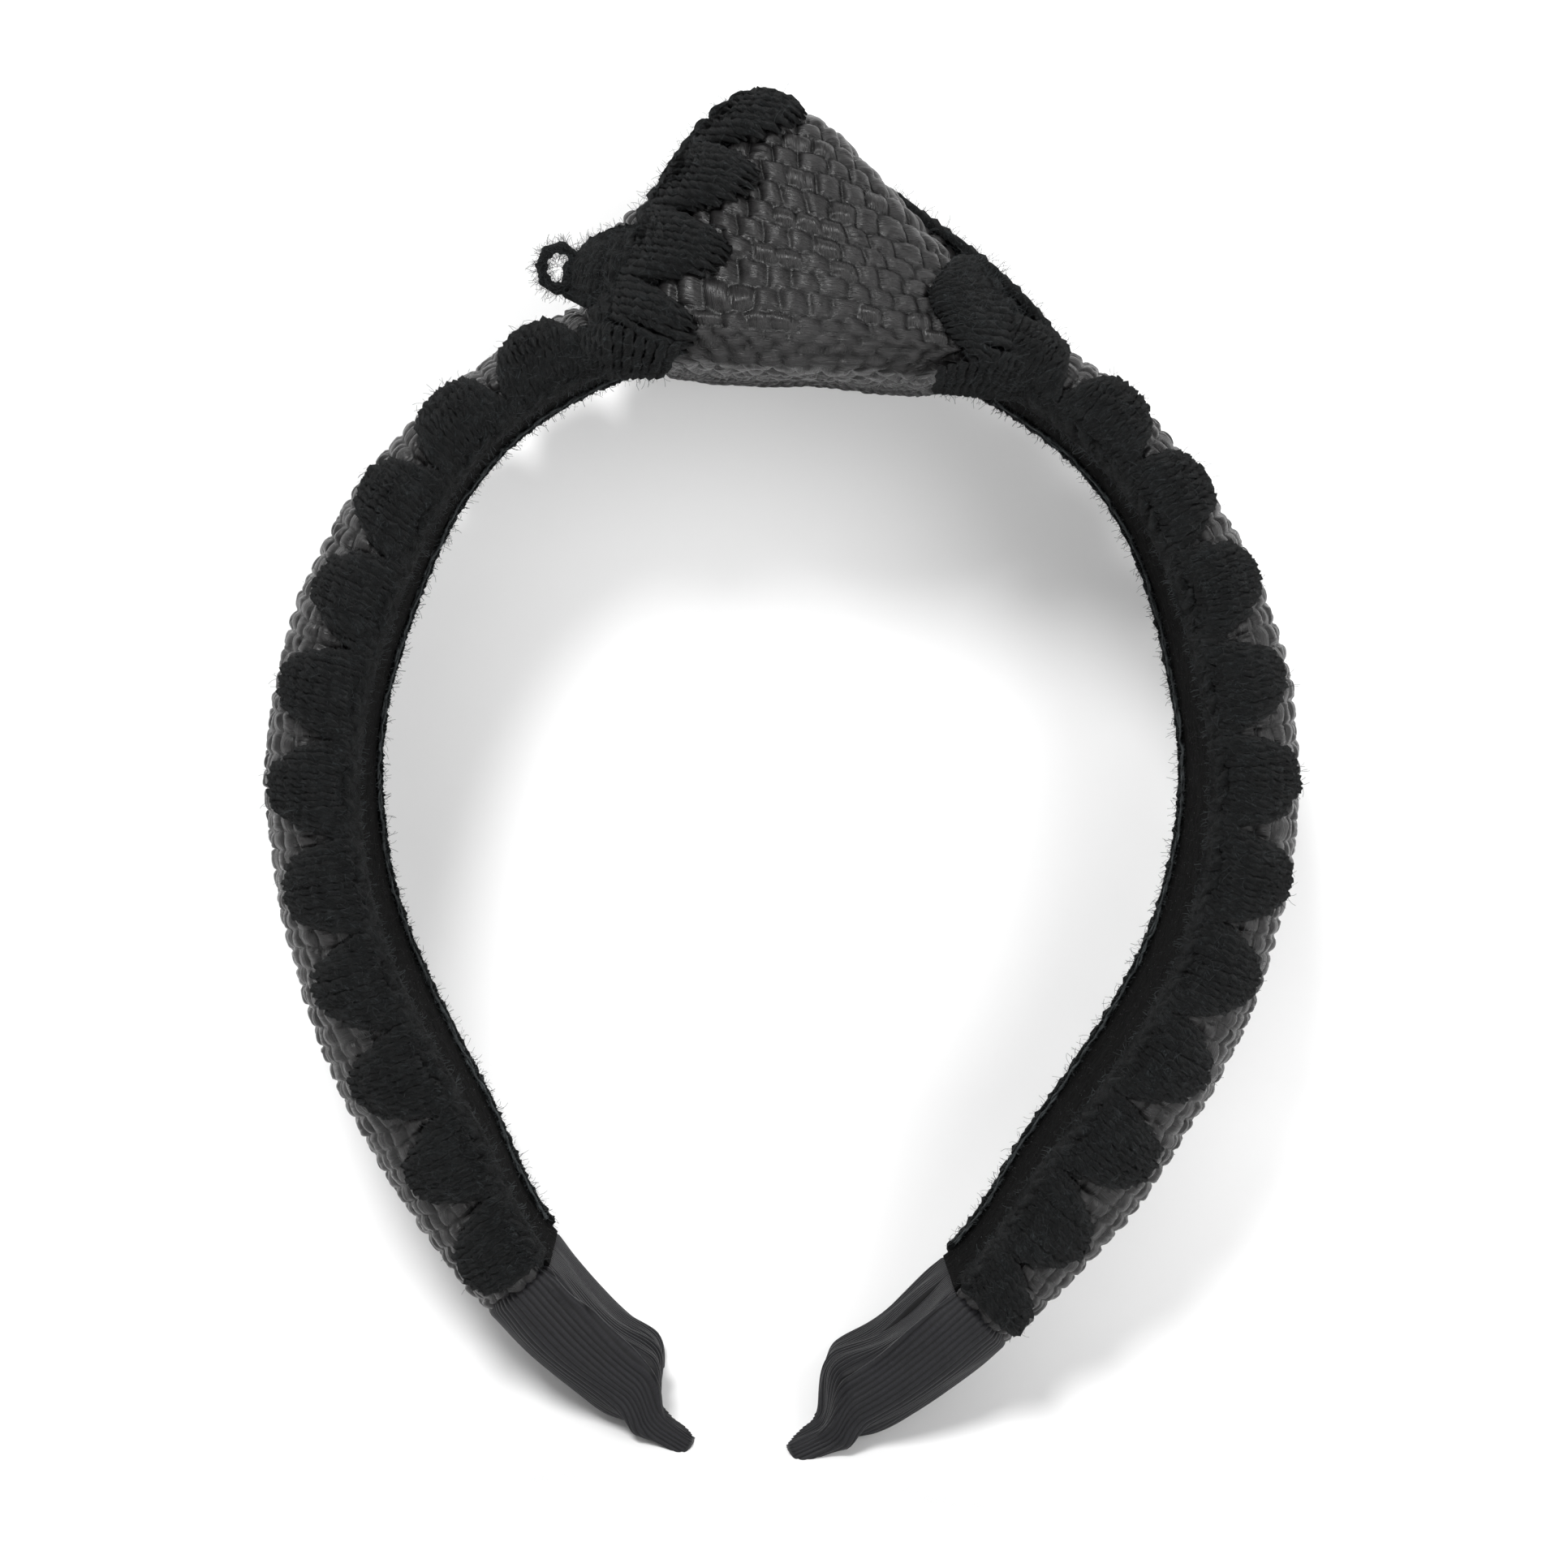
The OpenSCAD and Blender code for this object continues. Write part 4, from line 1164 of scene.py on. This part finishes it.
def knot_fold(name, centre, turn_deg, size, lift, seed):
    """A fold of straw that bulges from the knot: a woven dome with a closed underside."""
    w = settings("weave_sizes")
    cell, relief = mm(w.knot_cell) * 0.8, mm(w.relief) * 1.1
    rings, cols = 60, 150
    q = np.linspace(0, math.pi / 2, rings)[:, None]
    a = np.linspace(0, 2 * math.pi, cols, endpoint=False)[None, :]
    r = np.maximum(np.cos(q), 0.02)
    base = np.stack([size[0] * r * np.cos(a), size[1] * r * np.sin(a), lift * np.sin(q) + 0 * a], -1)
    cu, cv = base[..., 0] / cell + 30, base[..., 1] / cell + 30
    height, _, _, _ = weave(cu, cv, seed)
    normal = unit(base / np.array([size[0], size[1], lift]) ** 2)
    raised = base + normal * (relief * (height - 0.6) * np.minimum(1, q / 0.15))[..., None]
    foot = base[:1] * np.array([0.8, 0.8, 1.0]) - np.array([0, 0, 1.5])
    points = np.concatenate([foot, raised])
    angle = math.radians(turn_deg)
    c, s = math.cos(angle), math.sin(angle)
    x, z = points[..., 0] * c + points[..., 2] * s, -points[..., 0] * s + points[..., 2] * c
    points = np.stack([x, points[..., 1], z], -1) + np.array(centre)
    obj = mesh_object(name, points.reshape(-1, 3), tube_faces(rings + 1, cols))
    cu, cv = np.concatenate([cu[:1], cu]).ravel(), np.concatenate([cv[:1], cv]).ravel()
    store_weave(obj, cu, cv, grid_quads(rings + 1, cols, closed_cols=True), cell, cell, seed)
    return outward(obj)


def strand(points, count):
    """One smooth line in space through given points, for a loose yarn."""
    return smooth_line(points, count)[None]


def spaced(line, share):
    """Points at the given shares of a short list of points."""
    line = np.array(line)
    return np.stack([np.interp(share, np.linspace(0, 1, len(line)), line[:, k]) for k in range(3)], -1)


def bundle(low_line, high_line, count, bulge, seed):
    """Yarns side by side from one line to another, bowed outwards by bulge."""
    share = (np.arange(count) + 0.5) / count
    low, high = spaced(low_line, share), spaced(high_line, share)
    u = np.linspace(0, 1, STITCH_POINTS)[None, :, None]
    shake = 0.35 * (hash01(np.arange(count), 2, seed) - 0.5)[:, None, None]
    lines = low[:, None] * (1 - u) + high[:, None] * u
    bow = np.sin(math.pi * u) ** 0.8 * (1 + shake)
    return lines + bow * np.array(bulge)


# ---------------------------------------------------------------- joining to the frame
def joint_ends(band, side):
    """Two points on the crest each side of an arm's hinge, in metres."""
    s = np.array([band.hinge_s - BEND_BEFORE, band.hinge_s + BEND_AFTER]) * side
    ends = band.point(s, np.zeros(2), np.zeros(2)) * MM
    return tuple(ends[0]), tuple(ends[1])


def bend_with_arm(band, side, *objs):
    start, end = joint_ends(band, side)
    for obj in objs:
        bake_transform(obj)


def require(obj, what):
    if obj is None or not len(obj.data.polygons):
        raise RuntimeError(f"{what} came out empty")
    return obj


class Maker:
    """What every step shares: it stops with an error if its pieces can't be made."""

    def execute(self, context):
        self.make(Band())
        return {"FINISHED"}


class HEADBAND_OT_core(Maker, bpy.types.Operator):
    """Give the hoop, foam and stuffing their finishes"""
    bl_idname = "headband.core"
    bl_label = "Hoop and padding"

    def make(self, band):
        plastic = plain_finish("moulded_hoop", (0.018, 0.018, 0.02), 0.38, 0.5)
        foam = plain_finish("soft_foam", (0.16, 0.16, 0.165), 0.9, 0.35)
        straw, thread = straw_finish(), hair_finish("frayed_thread", tuple(settings("finish").thread))
        known = (("hoop", plastic), ("foam", foam), ("pad", foam), ("stuffing", foam),
                 ("lining", felt_finish()), ("ribbon", ribbon_finish()), ("thread", thread),
                 ("cover", straw), ("wrap", straw), ("fold", straw))
        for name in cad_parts:
            finish = next((m for key, m in known if key in name), wool_finish())
            give(bpy.data.objects[name], finish)


class HEADBAND_OT_covers(Maker, bpy.types.Operator):
    """Weave the straw covers of both arms"""
    bl_idname = "headband.covers"
    bl_label = "Straw covers"

    def make(self, band):
        for side in (LEFT, RIGHT):
            name = SIDE_NAME[side]
            cover = straw_cover(band, side, COVER_START, band.sleeve_s + 0.8, 100 + side)
            give(require(cover, "the cover"), straw_finish())
            bend_with_arm(band, side, cover)
            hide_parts(f"{name}_cover", *(["crown_cover"] if side == LEFT else []))


class HEADBAND_OT_edging(Maker, bpy.types.Operator):
    """Stitch the wool shells and ropes along the four rims"""
    bl_idname = "headband.edging"
    bl_label = "Wool edging"

    def make(self, band):
        wool = wool_finish()
        hair = hair_finish("wool_hair_painted_lit", WOOL_HAIR_PAINTED_LIT)
        fuzz_mm = mm(settings("wool_sizes").fuzz)
        for side in (LEFT, RIGHT):
            for face in (FRONT, BACK):
                name = f"{SIDE_NAME[side]}_{FACE_NAME[face]}"
                seed = 10 * (side + 1) + face + 2
                first = FIRST_SHELL[side]
                lines, radii = arm_stitches(band, side, face, EDGING_START, band.sleeve_s - 0.5, first, seed)
                shells = require(yarns(f"{name}_wool_shells", lines, radii, wool), "the shells")
                lines, radii = rim_rope(band, side, face, EDGING_START, band.sleeve_s - 0.5, seed)
                rope = require(yarns(f"{name}_wool_rope", lines, radii, wool), "the rope")
                loose = fuzz(f"{name}_wool_fuzz", shells, SHELL_HAIRS, fuzz_mm, hair, seed)
                edge = fuzz(f"{name}_rope_fuzz", rope, ROPE_HAIRS, fuzz_mm, hair, seed + 1)
                bend_with_arm(band, side, shells, rope, loose, edge)
                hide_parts(f"{name}_shells")
                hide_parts(f"{name}_edging")


class HEADBAND_OT_threads(Maker, bpy.types.Operator):
    """Run the sewing threads along the inside of the four rims"""
    bl_idname = "headband.threads"
    bl_label = "Sewing threads"

    def make(self, band):
        tone = tuple(settings("finish").thread)
        thread, hair = hair_finish("frayed_thread", tone), hair_finish("thread_hair", tone)
        for side in (LEFT, RIGHT):
            for face in (FRONT, BACK):
                name = f"{SIDE_NAME[side]}_{FACE_NAME[face]}_thread"
                seed = 70 + 10 * side + face
                lines, radii = stitch_thread(band, side, face, THREAD_START, band.sleeve_s - 2, seed)
                line = require(yarns(f"{name}_line", lines, radii, thread, twist=5200.0), "the thread")
                fray = fuzz(f"{name}_fray", line, FRAY_HAIRS, 1.3, hair, seed, thick_mm=0.04)
                bend_with_arm(band, side, line, fray)
                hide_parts(name)


class HEADBAND_OT_linings(Maker, bpy.types.Operator):
    """Lay the felt lining inside both arms"""
    bl_idname = "headband.linings"
    bl_label = "Felt linings"

    def make(self, band):
        hair = hair_finish("felt_hair", (0.02, 0.02, 0.021), 0.6)
        for side in (LEFT, RIGHT):
            name = SIDE_NAME[side]
            lining = felt_lining(band, side, COVER_START, band.sleeve_s + 1.0, 40 + side)
            give(require(lining, "the lining"), felt_finish())
            nap = fuzz(f"{name}_felt_nap", lining, NAP_HAIRS, 0.6, hair, 44 + side, lean=1.3, thick_mm=0.03)
            bend_with_arm(band, side, lining, nap)
            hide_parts(f"{name}_lining", *(["crown_lining"] if side == LEFT else []))


class HEADBAND_OT_ribbons(Maker, bpy.types.Operator):
    """Pull the ribbed ribbon sleeves over both ends"""
    bl_idname = "headband.ribbons"
    bl_label = "Ribbon sleeves"

    def make(self, band):
        for side in (LEFT, RIGHT):
            name = SIDE_NAME[side]
            sleeve = give(require(ribbon_sleeve(band, side, 60 + side), "the ribbon"), ribbon_finish())
            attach(sleeve, f"{name}_arm")
            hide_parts(f"{name}_ribbon_sleeve", f"{name}_ribbon_seam")


class HEADBAND_OT_knot(Maker, bpy.types.Operator):
    """Wrap the woven knot over the crown, with its two folds"""
    bl_idname = "headband.knot"
    bl_label = "Knot"

    def make(self, band):
        wrap = knot_wrap(200)
        left = knot_fold("knot_left_straw_fold", (-24, 9, 17), -48, (10.5, 10), 7.5, 210)
        right = knot_fold("knot_right_straw_fold", (15.5, 5, 17.5), 46, (9.5, 9), 6.2, 220)
        pieces = ((wrap, ("knot_wrap", "knot_stuffing")), (left, ("knot_left_fold",)),
                  (right, ("knot_right_fold",)))
        for obj, replaced in pieces:
            give(require(obj, "the knot"), straw_finish())
            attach(obj, "crown")
            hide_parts(*replaced)


class HEADBAND_OT_knot_wool(Maker, bpy.types.Operator):
    """Stitch the wool shells, ropes and the loose loop of the knot"""
    bl_idname = "headband.knot_wool"
    bl_label = "Knot wool"

    def make(self, band):
        wool = wool_finish()
        hair = hair_finish("wool_hair_painted_lit", WOOL_HAIR_PAINTED_LIT)
        fuzz_mm = mm(settings("wool_sizes").fuzz)
        left_rim = [(-12.5, 39), (-16.4, 36), (-20.0, 30.8), (-23.0, 24.5), (-25.5, 18),
                    (-28.4, 10.5), (-30, 0)]
        right_rim = [(20.8, 17.6), (25, 12.6), (27.4, 8), (26.8, 1)]
        made = []
        lines, radii = knot_stitches(left_rim, (4, -12), 4, 4.5, 12.8, 300)
        made.append((yarns("knot_left_wool_shells", lines, radii, wool), "knot_left_shells"))
        lines, radii = knot_stitches(right_rim, (200, 174), 1, 4, 10.5, 310)
        made.append((yarns("knot_right_wool_shells", lines, radii, wool), "knot_right_shells"))
        lines, radii = knot_rope(left_rim)
        made.append((yarns("knot_left_wool_rope", lines, radii, wool), None))
        lines, radii = knot_rope(right_rim)
        made.append((yarns("knot_right_wool_rope", lines, radii, wool), None))
        left = bundle([(-34, -15, -2.6), (-29, -17, -3), (-22, -17, -2.2)],
                      [(-35, -12, 3.4), (-30, -20, 4), (-19, -21, 2)], 13, (0, -2.0, -1.2), 340)
        right = bundle([(30, -14, -2), (24, -16, -2), (17, -17, -1.6)],
                       [(33, -13, 4), (27, -19, 4), (17, -21, 1)], 13, (0, -1.5, -0.8), 350)
        under = np.concatenate([left, right])
        made.append((yarns("knot_underside_wool", under, 0.75, wool), "knot_underside_shells"))
        turn = np.linspace(0, 2 * math.pi, 40)
        ring = np.stack([2.6 * np.cos(turn), 0.6 * np.sin(2 * turn), 2.9 * np.sin(turn)], -1)
        ring = ring + np.array([-37.8, -8, 12.6])
        made.append((yarns("knot_wool_loop", ring[None], 0.85, wool), "knot_yarn_loop"))
        foot = [(-36.5, -6, 9), (-33, -11, 7), (-27, -14, 6)]
        head = [(-35, -3, 13.5), (-33, -3, 17.5), (-30, -4, 19), (-26.5, -9, 19)]
        upright = bundle(foot, head, 14, (-0.8, -3.2, 1.0), 360)
        made.append((yarns("knot_left_wool_bundle", upright, 0.85, wool), None))
        loose_end = strand([(9.5, 3, 27.4), (16, 1, 23), (23.6, -1, 17.8), (31, -2, 11.5), (37, -4, 4.5)], 30)
        apart = ((0, 0, 0), (0.6, -1.6, 0.3), (-0.5, 1.6, -0.4))
        back = np.concatenate([loose_end + np.array(shift) for shift in apart])
        made.append((yarns("knot_right_wool_strand", back, 0.9, wool), None))
        for number, (obj, replaced) in enumerate(made):
            require(obj, "the knot's wool")
            loose = fuzz(obj.name + "_fuzz", obj, KNOT_HAIRS, fuzz_mm, hair, 370 + number)
            for piece in (obj, loose):
                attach(piece, "crown")
            if replaced:
                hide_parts(replaced)


def camera_at(target, azimuth, elevation, distance, roll, lens):
    """A camera that looks at target from the given angles, in degrees, and distance in metres."""
    a, e = math.radians(azimuth), math.radians(elevation)
    back = Vector((math.sin(a) * math.cos(e), -math.cos(a) * math.cos(e), math.sin(e)))
    data = bpy.data.cameras.new("camera")
    data.lens, data.sensor_width = lens, 36.0
    camera = bpy.data.objects.new("camera", data)
    bpy.context.scene.collection.objects.link(camera)
    camera.location = Vector(target) + back * distance
    camera.rotation_mode = "QUATERNION"
    camera.rotation_quaternion = (-back).to_track_quat("-Z", "Y") @ Quaternion((0, 0, 1), math.radians(roll))
    bpy.context.scene.camera = camera


def area_light(name, place, target, size, power, colour=(1, 1, 1)):
    data = bpy.data.lights.new(name, "AREA")
    data.shape, data.size, data.energy, data.color = "DISK", size, power, colour
    light = bpy.data.objects.new(name, data)
    bpy.context.scene.collection.objects.link(light)
    light.location = place
    light.rotation_euler = (Vector(target) - Vector(place)).to_track_quat("-Z", "Y").to_euler()


def studio_finish():
    """Pale matt paper, seen from its front only."""
    material, tree, shader = blank("studio_paper", 0.9, specular=0.0)
    if tree is None:
        return material
    shader.inputs["Base Color"].default_value = (*settings("finish").floor, 1)
    clear = node(tree, "ShaderNodeBsdfTransparent")
    side = node(tree, "ShaderNodeNewGeometry")
    mix = node(tree, "ShaderNodeMixShader")
    link(tree, side.outputs["Backfacing"], mix.inputs["Fac"])
    link(tree, shader.outputs[0], mix.inputs[1])
    link(tree, clear.outputs[0], mix.inputs[2])
    link(tree, mix.outputs[0], tree.nodes["Material Output"].inputs["Surface"])
    return material


class HEADBAND_OT_stage(Maker, bpy.types.Operator):
    """Set the camera, the pale floor and backdrop, and the soft light"""
    bl_idname = "headband.stage"
    bl_label = "Stage"

    def make(self, band):
        middle = (0.0, 0.0, -band.gap * MM)
        camera_at(middle, -1.5, 3.5, 0.47, 3.9, 72.3)
        floor_z, wall_y, bend_r, wide, tall = CAD_BOX[0][2], 0.026, 0.05, 1.2, 0.9
        turn = np.linspace(0, math.pi / 2, 13)
        profile = [(-1.2, floor_z)]
        profile += [(wall_y - bend_r * (1 - math.sin(a)), floor_z + bend_r * (1 - math.cos(a))) for a in turn]
        profile += [(wall_y, tall)]
        points = np.array([[x, y, z] for y, z in profile for x in (-wide, wide)]) / MM
        paper = give(mesh_object("paper_sweep", points, [grid_quads(len(profile), 2)]), studio_finish())
        world = bpy.data.worlds.new("studio")
        bpy.context.scene.world = world
        world.use_nodes = True
        world.node_tree.nodes["Background"].inputs["Color"].default_value = (1, 1, 1, 1)
        world.node_tree.nodes["Background"].inputs["Strength"].default_value = 0.55
        area_light("key_light", (-0.3, -0.75, 0.6), middle, 0.32, 9.0)
        area_light("fill_light", (0.55, -0.7, 0.1), middle, 0.6, 4.0)
        bpy.context.scene.view_settings.view_transform = "Standard"


STEPS = (HEADBAND_OT_stage, HEADBAND_OT_core, HEADBAND_OT_covers, HEADBAND_OT_linings, HEADBAND_OT_edging,
         HEADBAND_OT_threads, HEADBAND_OT_ribbons, HEADBAND_OT_knot, HEADBAND_OT_knot_wool)
GROUPS = {"band_sizes": BandSizes, "tip_sizes": TipSizes, "weave_sizes": WeaveSizes,
          "wool_sizes": WoolSizes, "finish": Finish}


class HEADBAND_PT_panel(bpy.types.Panel):
    """The headband's steps and sizes"""
    bl_idname = "HEADBAND_PT_panel"
    bl_label = "Headband"
    bl_space_type = "VIEW_3D"
    bl_region_type = "UI"
    bl_category = "Headband"

    def draw(self, context):
        layout = self.layout
        for name, group in GROUPS.items():
            box = layout.box()
            for key in group.__annotations__:
                box.prop(getattr(context.scene, name), key)
        for step in STEPS:
            layout.operator(step.bl_idname)


def register():
    for kind in (*GROUPS.values(), *STEPS, HEADBAND_PT_panel):
        bpy.utils.register_class(kind)
    for name, group in GROUPS.items():
        setattr(bpy.types.Scene, name, bpy.props.PointerProperty(type=group))


def unregister():
    for name in GROUPS:
        delattr(bpy.types.Scene, name)
    for kind in (HEADBAND_PT_panel, *reversed(STEPS), *reversed(GROUPS.values())):
        bpy.utils.unregister_class(kind)


def main():
    register()
    bpy.ops.headband.stage()
    bpy.ops.headband.core()
    bpy.ops.headband.covers()
    bpy.ops.headband.linings()
    bpy.ops.headband.edging()
    bpy.ops.headband.threads()
    bpy.ops.headband.ribbons()
    bpy.ops.headband.knot()
    bpy.ops.headband.knot_wool()


if __name__ == "__main__":
    main()
